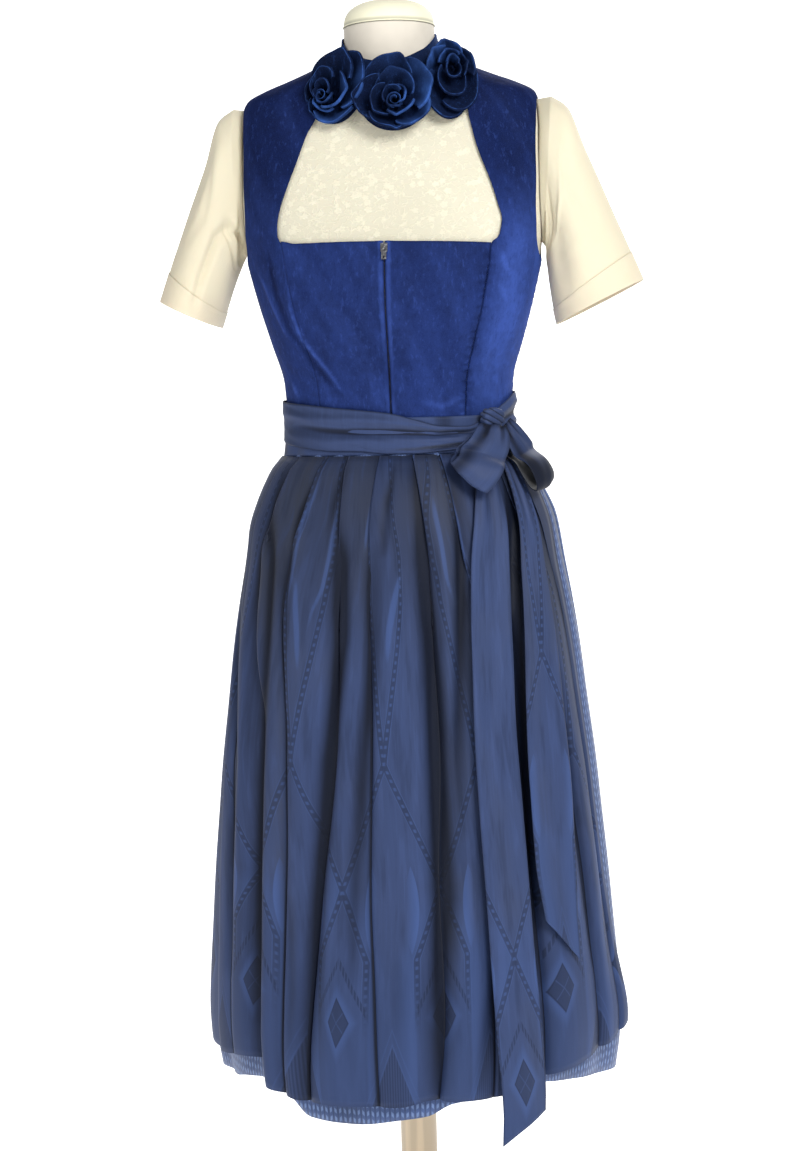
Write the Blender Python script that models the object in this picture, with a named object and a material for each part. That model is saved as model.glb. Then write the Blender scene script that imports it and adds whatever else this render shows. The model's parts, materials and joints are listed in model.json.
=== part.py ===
"""A dirndl outfit on a limbless dress form.

Velvet bodice with a zip in front, full skirt, taffeta apron with its tie and bow, short-sleeved
blouse and a collar of three velvet roses, on a padded form with a pole and a round foot.

Frame: metres, +Z up.  The front faces -Y, the floor is z = 0 and the pole is the Z axis.  Left and
right are those of someone who faces the front, so right is +X.  Places around the body are angles
in degrees: 0 is the front centre, 90 the +X side and 180 the centre back.  Every piece of cloth is
a closed wall, a little thicker than its cloth, on a surface worked out from the tables below.
"""

import math
from collections import namedtuple

import bmesh
import bpy
import numpy as np
from mathutils import Matrix, Vector

# ---- driving sizes ---------------------------------------------------------------------------

GAP = 0.0003                    # between two pieces that meet at a seam
SEAM_ANGLE = 0.12               # half a seam's gap, in degrees around the body

COTTON = 0.0010                 # wall of the blouse
VELVET = 0.0016                 # wall of the bodice and the collar
SKIRTING = 0.0014               # wall of the skirt
TAFFETA = 0.0012                # wall of the apron, its band and its tie

BLOUSE_OUT = 0.0002             # inner face of each layer, out from the body's surface
SKIRT_OUT = 0.0020
BAND_OUT = 0.0046
APRON_OUT = 0.0046
COLLAR_OUT = 0.0006

WAIST = 1.0300                  # seam between bodice and skirt
BAND_FOOT = 0.9965              # lower edge of the apron's band, where the apron hangs from it
UNDERARM = 1.2220
SHOULDER_TIP = 1.4140
STRAP_TOP = 1.4430              # height of the strap's neck end on the shoulder line

FORM_FOOT = 0.790
NECK_TOP = 1.5000
CAP_TOP = 1.5330

POLE_RADIUS = 0.0225
FOOT_RADIUS = 0.190
FOOT_THICKNESS = 0.024

# ---- tables ----------------------------------------------------------------------------------

Section = namedtuple("Section", "height half_width front back squareness")

# Level sections through the body, without cloth.
BODY = (
    Section(0.790, 0.1480, 0.0960, 0.1080, 2.0),
    Section(0.830, 0.1630, 0.1070, 0.1240, 2.0),
    Section(0.880, 0.1600, 0.1040, 0.1210, 2.0),
    Section(0.950, 0.1460, 0.0970, 0.1090, 2.0),
    Section(1.030, 0.1325, 0.0900, 0.0945, 2.1),
    Section(1.080, 0.1345, 0.0950, 0.0980, 2.1),
    Section(1.130, 0.1470, 0.1090, 0.1035, 2.2),
    Section(1.180, 0.1605, 0.1210, 0.1090, 2.25),
    Section(1.230, 0.1725, 0.1150, 0.1125, 2.4),
    Section(1.270, 0.1785, 0.1020, 0.1120, 2.7),
    Section(1.320, 0.1800, 0.0870, 0.1070, 2.9),
    Section(1.370, 0.1785, 0.0745, 0.0960, 2.8),
    Section(1.400, 0.1740, 0.0665, 0.0850, 2.6),
    Section(1.414, 0.1680, 0.0620, 0.0760, 2.4),
    Section(1.424, 0.1500, 0.0590, 0.0690, 2.2),
    Section(1.434, 0.1240, 0.0570, 0.0640, 2.1),
    Section(1.444, 0.0990, 0.0560, 0.0600, 2.0),
    Section(1.454, 0.0760, 0.0550, 0.0570, 2.0),
    Section(1.464, 0.0610, 0.0545, 0.0550, 2.0),
    Section(1.476, 0.0550, 0.0540, 0.0540, 2.0),
    Section(1.500, 0.0540, 0.0540, 0.0540, 2.0),
)

# (height, distance): how far the padded form lies under the body's surface, and how far the
# bodice's inner face lies out of it.
FORM_UNDER = ((0.790, 0.0030), (1.300, 0.0030), (1.370, 0.0044), (1.410, 0.0059), (1.440, 0.0059),
              (1.466, 0.0010), (1.500, 0.0003))
BODICE_OUTS = ((1.030, 0.0020), (1.090, 0.0020), (1.160, 0.0032), (1.290, 0.0034), (1.380, 0.0036),
               (1.415, 0.0048), (1.443, 0.0048))

# Level sections through the skirt, below FLARE_TOP, where it leaves the body.
FLARE_TOP = 0.994
SKIRT = (
    Section(0.200, 0.2350, 0.2100, 0.2160, 2.0),
    Section(0.240, 0.2390, 0.2120, 0.2180, 2.0),
    Section(0.265, 0.2430, 0.2140, 0.2200, 2.0),
    Section(0.291, 0.2455, 0.2150, 0.2220, 2.0),
    Section(0.317, 0.2465, 0.2150, 0.2225, 2.0),
    Section(0.367, 0.2440, 0.2120, 0.2190, 2.0),
    Section(0.418, 0.2400, 0.2060, 0.2135, 2.0),
    Section(0.494, 0.2340, 0.1980, 0.2060, 2.0),
    Section(0.569, 0.2265, 0.1900, 0.1985, 2.0),
    Section(0.619, 0.2215, 0.1830, 0.1920, 2.0),
    Section(0.693, 0.2120, 0.1725, 0.1815, 2.0),
    Section(0.767, 0.2025, 0.1615, 0.1705, 2.0),
    Section(0.816, 0.1945, 0.1535, 0.1625, 2.0),
    Section(0.865, 0.1850, 0.1445, 0.1535, 2.0),
    Section(0.914, 0.1760, 0.1345, 0.1425, 2.0),
    Section(0.938, 0.1685, 0.1275, 0.1345, 2.0),
    Section(0.962, 0.1590, 0.1180, 0.1245, 2.0),
    Section(0.984, 0.1470, 0.1050, 0.1110, 2.05),
)

Edge = namedtuple("Edge", "height degrees")

# The bodice's cut edges, from the waist up: its front seams, and its neckline at front and back.
PRINCESS_SEAM = (Edge(1.030, 38.5), Edge(1.096, 39.5), Edge(1.136, 40.2), Edge(1.168, 41.2),
                 Edge(1.208, 41.0), Edge(1.238, 40.2))
NECKLINE_CENTRE = 1.2410        # height of the neckline at the zip
NECKLINE = (Edge(1.238, 40.2), Edge(1.248, 41.8), Edge(1.272, 41.5), Edge(1.290, 39.8),
            Edge(1.337, 33.2), Edge(1.362, 30.3), Edge(1.390, 28.6), Edge(1.410, 33.0),
            Edge(1.428, 45.0), Edge(1.438, 63.0), Edge(STRAP_TOP, 90.0))
BACK_NECKLINE = (Edge(1.372, 0.0), Edge(1.376, 12.0), Edge(1.388, 24.0), Edge(1.405, 36.0),
                 Edge(1.422, 51.0), Edge(1.434, 68.0), Edge(STRAP_TOP, 90.0))
# The blouse's neck edges, angles counted from the front centre and from the back centre.
BLOUSE_NECK = (Edge(1.402, 0.0), Edge(1.405, 12.0), Edge(1.412, 26.0), Edge(1.424, 44.0),
               Edge(1.438, 66.0), Edge(1.4500, 90.0))
BLOUSE_NAPE = (Edge(1.428, 0.0), Edge(1.430, 18.0), Edge(1.436, 40.0), Edge(1.443, 64.0),
               Edge(1.4500, 90.0))
BLOUSE_FOOT = 1.150

Opening = namedtuple("Opening", "foot top front_degrees back_degrees squareness")
BODICE_ARMHOLE = Opening(UNDERARM, SHOULDER_TIP, 30.0, 27.0, 2.6)
BLOUSE_ARMHOLE = Opening(1.2430, 1.4100, 24.0, 22.0, 2.2)

# Rings of the two sleeves: the ring's outer and inner points and half its depth, front to back.
Ring = namedtuple("Ring", "along outer_x outer_z inner_x inner_z depth")
LEFT_SLEEVE = (
    Ring(0.10, 0.1900, 1.4120, 0.1815, 1.2370, 0.0440),
    Ring(0.22, 0.2075, 1.3990, 0.1850, 1.2310, 0.0500),
    Ring(0.40, 0.2245, 1.3480, 0.1900, 1.2210, 0.0550),
    Ring(0.60, 0.2460, 1.2930, 0.1975, 1.2030, 0.0590),
    Ring(0.80, 0.2660, 1.2400, 0.2060, 1.1800, 0.0620),
    Ring(1.00, 0.2860, 1.1870, 0.2155, 1.1530, 0.0640),
)
RIGHT_SLEEVE = (
    Ring(0.10, 0.1910, 1.4120, 0.1815, 1.2370, 0.0420),
    Ring(0.22, 0.2090, 1.3990, 0.1815, 1.2300, 0.0450),
    Ring(0.40, 0.2290, 1.3500, 0.1820, 1.2200, 0.0470),
    Ring(0.60, 0.2520, 1.2970, 0.1840, 1.2000, 0.0480),
    Ring(0.80, 0.2740, 1.2450, 0.1875, 1.1730, 0.0490),
    Ring(1.00, 0.2950, 1.1940, 0.1930, 1.1450, 0.0490),
)
CUFF_START = 0.875              # along the sleeve

# Pressed pleats of the apron: the angle of each fold edge at four heights.
Pleat = namedtuple("Pleat", "waist hip thigh hem side")
PLEAT_HEIGHTS = (0.250, 0.850, 0.930, 1.000)
APRON_PLEATS = (
    Pleat(-76.0, -78.0, -78.0, -80.0, -1), Pleat(-62.0, -66.0, -67.0, -68.0, -1),
    Pleat(-47.0, -52.5, -55.0, -56.0, -1), Pleat(-31.5, -35.0, -40.0, -42.0, -1),
    Pleat(-16.0, -16.8, -17.5, -20.0, -1), Pleat(-1.5, -4.5, -6.5, -9.0, -1),
    Pleat(12.0, 14.5, 15.5, 18.0, 1), Pleat(25.0, 26.5, 28.0, 31.0, 1),
    Pleat(38.0, 41.0, 43.0, 46.0, 1), Pleat(52.0, 55.0, 57.0, 60.0, 1),
    Pleat(66.0, 68.0, 70.0, 72.0, 1),
)
PLEAT_STEP = 0.0035

# Troughs between the apron's flutes: angle at four heights, half-width in degrees, and depth.
Trough = namedtuple("Trough", "high upper lower hem width depth")
TROUGH_HEIGHTS = (0.250, 0.500, 0.670, 0.850)
APRON_TROUGHS = (
    Trough(-74.0, -71.0, -68.0, -66.0, 5.0, 0.0080), Trough(-57.0, -47.5, -44.5, -43.0, 4.5, 0.0110),
    Trough(-36.0, -33.0, -33.0, -34.5, 3.5, 0.0040), Trough(-15.5, -17.5, -21.5, -26.0, 4.5, 0.0090),
    Trough(-3.0, -2.0, -3.0, -7.0, 4.0, 0.0045), Trough(13.5, 15.0, 13.5, 11.0, 5.0, 0.0120),
    Trough(30.0, 29.0, 28.0, 27.0, 3.5, 0.0040), Trough(45.0, 43.0, 42.5, 43.0, 4.5, 0.0100),
    Trough(61.0, 64.0, 66.0, 67.0, 4.5, 0.0080),
)
# The same for the skirt, all round.
SKIRT_TROUGHS = (
    Trough(-80.0, -78.0, -77.0, -76.0, 4.5, 0.0040), Trough(-46.0, -46.0, -47.0, -49.0, 6.0, 0.0030),
    Trough(-12.0, -12.0, -14.0, -15.0, 6.0, 0.0030), Trough(22.0, 22.0, 23.0, 24.0, 6.0, 0.0030),
    Trough(54.0, 54.0, 55.0, 56.0, 6.0, 0.0030), Trough(100.0, 99.0, 98.0, 99.0, 6.0, 0.0100),
    Trough(118.0, 119.0, 121.0, 122.0, 6.5, 0.0120), Trough(140.0, 141.0, 142.0, 145.0, 6.0, 0.0090),
    Trough(161.0, 162.0, 164.0, 165.0, 6.5, 0.0130), Trough(180.0, 181.0, 183.0, 186.0, 6.0, 0.0100),
    Trough(201.0, 203.0, 206.0, 208.0, 6.5, 0.0120), Trough(224.0, 225.0, 227.0, 228.0, 6.0, 0.0090),
    Trough(245.0, 246.0, 247.0, 247.0, 6.5, 0.0120), Trough(262.0, 263.0, 264.0, 264.0, 5.0, 0.0060),
)

Hem = namedtuple("Hem", "degrees height")
APRON_LEFT, APRON_RIGHT = -88.0, 84.0
APRON_HEM = (Hem(-88.0, 0.2700), Hem(-60.0, 0.2640), Hem(-43.0, 0.2640), Hem(-33.0, 0.2560),
             Hem(-27.0, 0.2540), Hem(-15.0, 0.2470), Hem(0.0, 0.2560), Hem(15.0, 0.2620),
             Hem(23.0, 0.2600), Hem(40.0, 0.2700), Hem(58.0, 0.2800), Hem(70.0, 0.2860),
             Hem(84.0, 0.3080))
SKIRT_HEM = (Hem(-90.0, 0.2460), Hem(-67.0, 0.2520), Hem(-43.0, 0.2480), Hem(-26.0, 0.2400),
             Hem(-15.0, 0.2340), Hem(0.0, 0.2430), Hem(15.0, 0.2500), Hem(48.0, 0.2580),
             Hem(67.0, 0.2540), Hem(90.0, 0.2500), Hem(150.0, 0.2450), Hem(210.0, 0.2480),
             Hem(270.0, 0.2460))

# The tie around the waist: its lower and upper edge, and how far its inner face is out.
Tie = namedtuple("Tie", "degrees foot top out")
SASH = (Tie(-90.0, 1.0160, 1.0630, 0.0067), Tie(-50.0, 1.0060, 1.0580, 0.0067),
        Tie(-32.0, 1.0020, 1.0540, 0.0067), Tie(-16.0, 1.0010, 1.0500, 0.0067),
        Tie(0.0, 0.9975, 1.0450, 0.0067), Tie(12.0, 0.9975, 1.0370, 0.0067),
        Tie(25.0, 1.0000, 1.0290, 0.0068), Tie(38.0, 1.0020, 1.0280, 0.0069),
        Tie(52.0, 1.0130, 1.0400, 0.0069), Tie(66.0, 1.0220, 1.0540, 0.0068),
        Tie(82.0, 1.0270, 1.0650, 0.0067), Tie(100.0, 1.0220, 1.0670, 0.0050),
        Tie(135.0, 1.0100, 1.0640, 0.0044), Tie(180.0, 1.0060, 1.0620, 0.0044),
        Tie(225.0, 1.0080, 1.0620, 0.0044), Tie(270.0, 1.0160, 1.0630, 0.0067))
BAND_TOP = 1.0400

# The two hanging ends of the tie: the angles of their edges at each height.
Ribbon = namedtuple("Ribbon", "height left right")
LONG_TAIL = (Ribbon(0.206, 29.5, 30.5), Ribbon(0.240, 28.0, 41.0), Ribbon(0.330, 26.0, 39.3),
             Ribbon(0.480, 25.0, 38.2), Ribbon(0.640, 24.2, 38.0), Ribbon(0.780, 25.5, 40.0),
             Ribbon(0.870, 28.0, 43.0), Ribbon(0.940, 33.0, 46.0), Ribbon(0.985, 39.0, 48.0),
             Ribbon(1.016, 43.5, 48.5))
SHORT_TAIL = (Ribbon(0.404, 51.5, 52.5), Ribbon(0.460, 42.5, 55.0), Ribbon(0.530, 40.6, 56.5),
              Ribbon(0.620, 40.8, 58.0), Ribbon(0.710, 42.5, 59.0), Ribbon(0.860, 48.0, 61.0),
              Ribbon(0.940, 52.0, 62.0), Ribbon(0.985, 53.0, 61.0), Ribbon(1.016, 52.5, 58.5))
TAIL_OUTS = ((0.200, 0.0150), (0.880, 0.0145), (0.940, 0.0124), (0.985, 0.0106), (1.016, 0.0091))

KNOT = Edge(1.0350, 51.5)
KNOT_HALF = (0.0160, 0.0085, 0.0115)        # along the waist, outwards, upwards

# A bow's loop: where its middle line runs, how far out of the skirt's surface, half its width
# there, and how its width lies: along the waist and upwards.
Loop = namedtuple("Loop", "degrees height out half_width way_across way_up")
FRONT_LOOP = (
    Loop(49.0, 1.0232, 0.0230, 0.012, 1.00, -0.15), Loop(46.5, 1.0145, 0.0310, 0.018, 0.98, -0.20),
    Loop(42.5, 1.0020, 0.0375, 0.023, 0.95, -0.35), Loop(37.0, 0.9870, 0.0390, 0.026, 0.85, -0.55),
    Loop(32.5, 0.9745, 0.0360, 0.027, 0.72, -0.72), Loop(30.5, 0.9690, 0.0295, 0.027, 0.68, -0.75),
    Loop(32.5, 0.9755, 0.0240, 0.027, 0.72, -0.72), Loop(37.0, 0.9870, 0.0226, 0.026, 0.85, -0.55),
    Loop(42.0, 1.0020, 0.0212, 0.023, 0.95, -0.35), Loop(46.0, 1.0145, 0.0190, 0.018, 0.98, -0.20),
    Loop(48.5, 1.0231, 0.0163, 0.012, 1.00, -0.15),
)
SIDE_LOOP = (
    Loop(60.5, 1.0300, 0.0190, 0.009, 0.80, 0.60), Loop(62.0, 1.0170, 0.0260, 0.016, 0.90, 0.40),
    Loop(65.0, 1.0000, 0.0320, 0.021, 0.93, 0.30), Loop(67.5, 0.9820, 0.0350, 0.024, 0.95, 0.25),
    Loop(68.5, 0.9660, 0.0340, 0.025, 0.95, 0.25), Loop(68.5, 0.9560, 0.0280, 0.025, 0.95, 0.25),
    Loop(68.0, 0.9600, 0.0225, 0.025, 0.95, 0.25), Loop(66.0, 0.9750, 0.0208, 0.023, 0.95, 0.25),
    Loop(64.0, 0.9970, 0.0195, 0.018, 0.93, 0.30), Loop(60.8, 1.0210, 0.0162, 0.010, 0.85, 0.50),
)

Collar = namedtuple("Collar", "degrees foot top")
COLLAR = (Collar(-180.0, 1.4680, 1.4990), Collar(-135.0, 1.4670, 1.4980), Collar(-90.0, 1.4650, 1.4900),
          Collar(-45.0, 1.4420, 1.4680), Collar(0.0, 1.4250, 1.4540), Collar(45.0, 1.4420, 1.4680),
          Collar(90.0, 1.4650, 1.4900), Collar(135.0, 1.4670, 1.4980), Collar(180.0, 1.4680, 1.4990))

# A rose: the middle of its foot, the way it faces (degrees from the front, and upwards), and its size.
Rose = namedtuple("Rose", "name x y z turned tilt half_width half_height depth turns twist")
ROSES = (Rose("rose_left", -0.0520, -0.0595, 1.4240, -20.0, 16.0, 0.0390, 0.0490, 0.0260, 3.1, 200.0),
         Rose("rose_centre", 0.0108, -0.0729, 1.4110, 2.0, 12.0, 0.0485, 0.0470, 0.0320, 3.3, -60.0),
         Rose("rose_right", 0.0727, -0.0557, 1.4250, 14.0, 14.0, 0.0335, 0.0490, 0.0260, 3.1, 40.0))
ROSE_CORE = 0.0040              # radius of the rolled strip's first turn at its foot
ROSE_FOOT = 0.0125              # and of its last turn

SLIDER_HEIGHT = 1.2335          # centre of the zip's slider
SLIDER = (0.0080, 0.0100, 0.0020)           # width, length and thickness of its plate
BRIDGE = (0.0024, 0.0064, 0.0030)           # the bridge over it, that holds the tab
TAB = (0.0058, 0.0150, 0.0010)
TAB_SLOT = (0.0030, 0.0042)
TAB_HOLE = 0.0011
PIN_RISE = 0.00095              # height of the tab's axis over the plate

Finish = namedtuple("Finish", "red green blue roughness metallic")
FINISHES = {
    "form_cloth": Finish(0.78, 0.74, 0.68, 0.85, 0.0),
    "cap_cloth": Finish(0.86, 0.83, 0.62, 0.80, 0.0),
    "pale_wood": Finish(0.72, 0.60, 0.44, 0.45, 0.0),
    "blouse_cotton": Finish(0.85, 0.81, 0.70, 0.80, 0.0),
    "velvet": Finish(0.018, 0.040, 0.240, 0.75, 0.0),
    "skirt_cotton": Finish(0.055, 0.125, 0.380, 0.70, 0.0),
    "taffeta": Finish(0.040, 0.065, 0.150, 0.40, 0.0),
    "zip_metal": Finish(0.10, 0.10, 0.11, 0.35, 1.0),
}

# Heights of the panels' rows, at their inner edge: closer together over the shoulder.
LEVELS = (1.030, 1.062, 1.094, 1.124, 1.152, 1.180, 1.208, 1.238, 1.268, 1.298, 1.328, 1.356,
          1.382, 1.402, 1.418, 1.431, 1.443)
BODICE_SHARES = tuple((height - LEVELS[0]) / (LEVELS[-1] - LEVELS[0]) for height in LEVELS)
BLOUSE_SHARES = tuple((height - LEVELS[4]) / (LEVELS[-1] - LEVELS[4]) for height in LEVELS[4:])

# ---- curves and surfaces -----------------------------------------------------------------------


def smooth(places, values, at):
    """Read a smooth curve through (places, values) that never overshoots its points."""
    places, values = np.asarray(places, float), np.asarray(values, float)
    at = np.clip(np.asarray(at, float), places[0], places[-1])
    secants = np.diff(values) / np.diff(places)
    rising = secants[:-1] * secants[1:] > 0
    total = np.where(rising, secants[:-1] + secants[1:], 1.0)
    middle = np.where(rising, 2 * secants[:-1] * secants[1:] / total, 0.0)
    slopes = np.concatenate(([secants[0]], middle, [secants[-1]]))
    i = np.clip(np.searchsorted(places, at, side="right") - 1, 0, len(places) - 2)
    step = places[i + 1] - places[i]
    u = (at - places[i]) / step
    start = (1 + 2 * u) * (1 - u) ** 2 * values[i] + u * (1 - u) ** 2 * step * slopes[i]
    end = u * u * (3 - 2 * u) * values[i + 1] + u * u * (u - 1) * step * slopes[i + 1]
    return start + end


def read(table, name, at):
    """Read one named column of a table at places of its first column."""
    return smooth([row[0] for row in table], [getattr(row, name) for row in table], at)


def read_pairs(pairs, at):
    """Read a table of (height, distance) pairs at heights."""
    return smooth(*zip(*pairs), at)


def ease(value, start, end):
    """0 before start, 1 after end, and a soft step between them; start may be above end."""
    u = np.clip((np.asarray(value, float) - start) / (end - start), 0.0, 1.0)
    return u * u * (3 - 2 * u)


def section_point(half_width, front, back, squareness, degrees, height):
    """A point of a level section: an ellipse whose corners are filled by its squareness."""
    angle = np.radians(degrees)
    sine, cosine = np.sin(angle), np.cos(angle)
    reach = (np.abs(sine) ** squareness + np.abs(cosine) ** squareness) ** (-1 / squareness)
    depth = np.where(cosine > 0, front, back)
    height = np.broadcast_to(height, np.shape(reach))
    return np.stack([half_width * sine * reach, -depth * cosine * reach, height], axis=-1)


def body_point(degrees, height):
    """A point of the body's surface."""
    sizes = [read(BODY, name, height) for name in Section._fields[1:]]
    return section_point(*sizes, degrees, height)


def skirt_point(degrees, height):
    """A point of the surface that the skirt and apron hang on: the body down to FLARE_TOP."""
    top = Section(FLARE_TOP, *[float(read(BODY, name, FLARE_TOP)) for name in Section._fields[1:]])
    flare = SKIRT + (top,)
    sizes = [np.where(height >= FLARE_TOP, read(BODY, name, height), read(flare, name, height))
             for name in Section._fields[1:]]
    return section_point(*sizes, degrees, height)


def surface_normal(surface, degrees, height):
    """The outward unit normal of a surface of angle and height."""
    across = surface(degrees + 0.5, height) - surface(degrees - 0.5, height)
    up = surface(degrees, height + 0.001) - surface(degrees, height - 0.001)
    normal = np.cross(across, up)
    return normal / np.linalg.norm(normal, axis=-1, keepdims=True)


def level_normal(surface, degrees, height):
    """The outward unit normal of a surface's level section, which has no height."""
    across = surface(degrees + 0.5, height) - surface(degrees - 0.5, height)
    normal = np.stack([across[..., 1], -across[..., 0], np.zeros_like(across[..., 0])], axis=-1)
    return normal / np.linalg.norm(normal, axis=-1, keepdims=True)


# ---- meshes ------------------------------------------------------------------------------------


def make_material(name):
    """A plain material with a finish's colour, roughness and metallic value."""
    finish = FINISHES[name]
    material = bpy.data.materials.new(name)
    material.use_nodes = True
    shader = material.node_tree.nodes["Principled BSDF"]
    shader.inputs["Base Color"].default_value = (finish.red, finish.green, finish.blue, 1.0)
    shader.inputs["Roughness"].default_value = finish.roughness
    shader.inputs["Metallic"].default_value = finish.metallic
    return material


def add_object(name, mesh, finish):
    """Link a mesh as a named piece with its material."""
    if finish not in bpy.data.materials:
        make_material(finish)
    mesh.materials.append(bpy.data.materials[finish])
    piece = bpy.data.objects.new(name, mesh)
    bpy.context.scene.collection.objects.link(piece)
    return piece


def grid_faces(rows, columns, closed=False):
    """The quads of a grid of rows times columns points; a closed grid's last column meets its first."""
    spans = columns if closed else columns - 1
    row, column = np.meshgrid(np.arange(rows - 1), np.arange(spans), indexing="ij")
    here, right = row * columns + column, row * columns + (column + 1) % columns
    return np.stack([here, right, right + columns, here + columns], axis=-1).reshape(-1, 4)


def joined(points, faces):
    """Merge the points of a grid that coincide, and drop what collapses."""
    keys = np.round(points / 1e-6).astype(int)
    _, first, where = np.unique(keys, axis=0, return_index=True, return_inverse=True)
    faces = where.reshape(-1)[faces]
    kept = [list(dict.fromkeys(face)) for face in faces.tolist()]
    return first, [face for face in kept if len(face) > 2]


def wall(name, points, normals, inside, outside, faces, finish):
    """A closed wall on a sheet of points: an outer skin, an inner skin, and a rim on its edges."""
    points, normals = points.reshape(-1, 3), normals.reshape(-1, 3)
    inside, outside = (np.broadcast_to(out, points.shape[:1]).reshape(-1, 1) if np.ndim(out) == 0
                       else np.reshape(out, (-1, 1)) for out in (inside, outside))
    first, faces = joined(points, faces)
    outer = (points + normals * outside)[first]
    inner = (points + normals * inside)[first]
    count = len(first)
    edges = set()
    for face in faces:
        edges.update(zip(face, face[1:] + face[:1]))
    rim = [(b, a, a + count, b + count) for a, b in edges if (b, a) not in edges]
    back = [[corner + count for corner in face[:1] + face[:0:-1]] for face in faces]
    mesh = bpy.data.meshes.new(name)
    mesh.from_pydata(np.concatenate([outer, inner]).tolist(), [], faces + back + sorted(rim))
    mesh.update()
    return add_object(name, mesh, finish)


def panel_grid(left, right, columns):
    """Grid of angles and heights between two edges, each an array of (height, degrees) rows."""
    share = np.linspace(0.0, 1.0, columns)
    heights = left[:, :1] * (1 - share) + right[:, :1] * share
    degrees = left[:, 1:] * (1 - share) + right[:, 1:] * share
    return degrees, heights


def panel(name, left, right, columns, inside, thickness, finish):
    """A wall on the body between two cut edges."""
    degrees, heights = panel_grid(left, right, columns)
    normals = surface_normal(body_point, degrees, heights)
    faces, near = grid_faces(*degrees.shape), inside(heights)
    return wall(name, body_point(degrees, heights), normals, near, near + thickness, faces, finish)


def armhole_degrees(opening, reach, height):
    """How far an armhole's edge is from the body's side at a height: half a squared ellipse."""
    middle, half = (opening.top + opening.foot) / 2, (opening.top - opening.foot) / 2
    share = np.clip(np.abs((height - middle) / half), 0.0, 1.0)
    return reach * (1 - share ** opening.squareness) ** (1 / opening.squareness)


def side_rows(foot, opening, reach, shares):
    """Rows of (height, degrees from the side) up the side seam and round half an armhole."""
    heights = foot + (opening.top - foot) * np.array(shares)
    return np.stack([heights, np.maximum(armhole_degrees(opening, reach, heights), SEAM_ANGLE)], axis=1)


def mirrored(rows):
    """The same edge on the other side of the body."""
    return rows * np.array([1.0, -1.0])


# ---- the form and its stand ----------------------------------------------------------------------


def make_form():
    """The padded form: level rings up to the neck, closed at both ends."""
    heights = [row.height for row in BODY]
    degrees = np.arange(0.0, 360.0, 15.0)
    angles, levels = np.meshgrid(degrees, heights)
    under = read_pairs(FORM_UNDER, levels)[..., None]
    points = body_point(angles, levels) - under * surface_normal(body_point, angles, levels)
    points[0, :, 2], points[-1, :, 2] = FORM_FOOT, NECK_TOP
    rows, columns = angles.shape
    faces = grid_faces(rows, columns, closed=True).tolist()
    faces.append(list(range(columns))[::-1])
    faces.append(list(range((rows - 1) * columns, rows * columns)))
    mesh = bpy.data.meshes.new("form_torso")
    mesh.from_pydata(points.reshape(-1, 3).tolist(), [], faces)
    mesh.update()
    add_object("form_torso", mesh, "form_cloth")


def turned(name, profile, steps, finish):
    """A solid turned round the Z axis from (radius, height) points, top to bottom."""
    mesh = bpy.data.meshes.new(name)
    shape = bmesh.new()
    points = [shape.verts.new((radius, 0.0, height)) for radius, height in profile]
    edges = [shape.edges.new(pair) for pair in zip(points, points[1:])]
    bmesh.ops.spin(shape, geom=points + edges, cent=(0, 0, 0), axis=(0, 0, 1), angle=math.tau,
                   steps=steps, use_merge=True)
    bmesh.ops.remove_doubles(shape, verts=shape.verts, dist=1e-5)
    bmesh.ops.recalc_face_normals(shape, faces=shape.faces)
    shape.to_mesh(mesh)
    shape.free()
    return add_object(name, mesh, finish)


def make_stand():
    """Neck cap, pole and round foot, all turned about the pole's axis."""
    radius, foot = float(read(BODY, "half_width", NECK_TOP)), NECK_TOP + GAP
    rise = CAP_TOP - foot
    dome = [(radius * math.cos(a), foot + 0.006 + (rise - 0.006) * math.sin(a))
            for a in np.radians([72.0, 54.0, 36.0, 18.0, 0.0])]
    turned("form_neck_cap", [(0.0, CAP_TOP), *dome, (radius, foot), (0.0, foot)], 24, "cap_cloth")
    edge = FOOT_RADIUS - 0.002
    turned("stand", [(0.0, FORM_FOOT - GAP), (POLE_RADIUS, FORM_FOOT - GAP), (POLE_RADIUS, FOOT_THICKNESS),
                     (FOOT_RADIUS - 0.008, FOOT_THICKNESS), (edge, FOOT_THICKNESS - 0.004),
                     (FOOT_RADIUS, FOOT_THICKNESS / 2), (edge, 0.0), (0.0, 0.0)], 32, "pale_wood")


# ---- blouse ------------------------------------------------------------------------------------


def half_and_half(name, neck, reach, opening, foot, shares, columns, middle, inside, thickness, finish):
    """One panel across the front or back: two mirrored halves that share the centre line.

    `middle` is 0 for the front and 180 for the back.  Each half runs from the centre line, and
    above it the neck edge, out to the side seam, and above it the armhole."""
    heights = foot + (neck[-1].height - foot) * np.array(shares)
    inner = np.where(heights > neck[0].height, read(neck, "degrees", heights), 0.0)
    inner = np.minimum(inner, 90.0 - SEAM_ANGLE)
    side = side_rows(foot, opening, reach, shares)
    near = np.stack([heights, inner], axis=1)
    far = np.stack([side[:, 0], 90.0 - side[:, 1]], axis=1)
    degrees, levels = panel_grid(near, far, columns)
    rows = len(shares)
    left_faces = grid_faces(rows, columns)
    both = np.concatenate([middle - degrees[:, ::-1], middle + degrees]).reshape(2 * rows, columns)
    levels = np.concatenate([levels[:, ::-1], levels])
    faces = np.concatenate([left_faces, left_faces + rows * columns])
    normals, near = surface_normal(body_point, both, levels), inside(levels)
    return wall(name, body_point(both, levels), normals, near, near + thickness, faces, finish)


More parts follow.
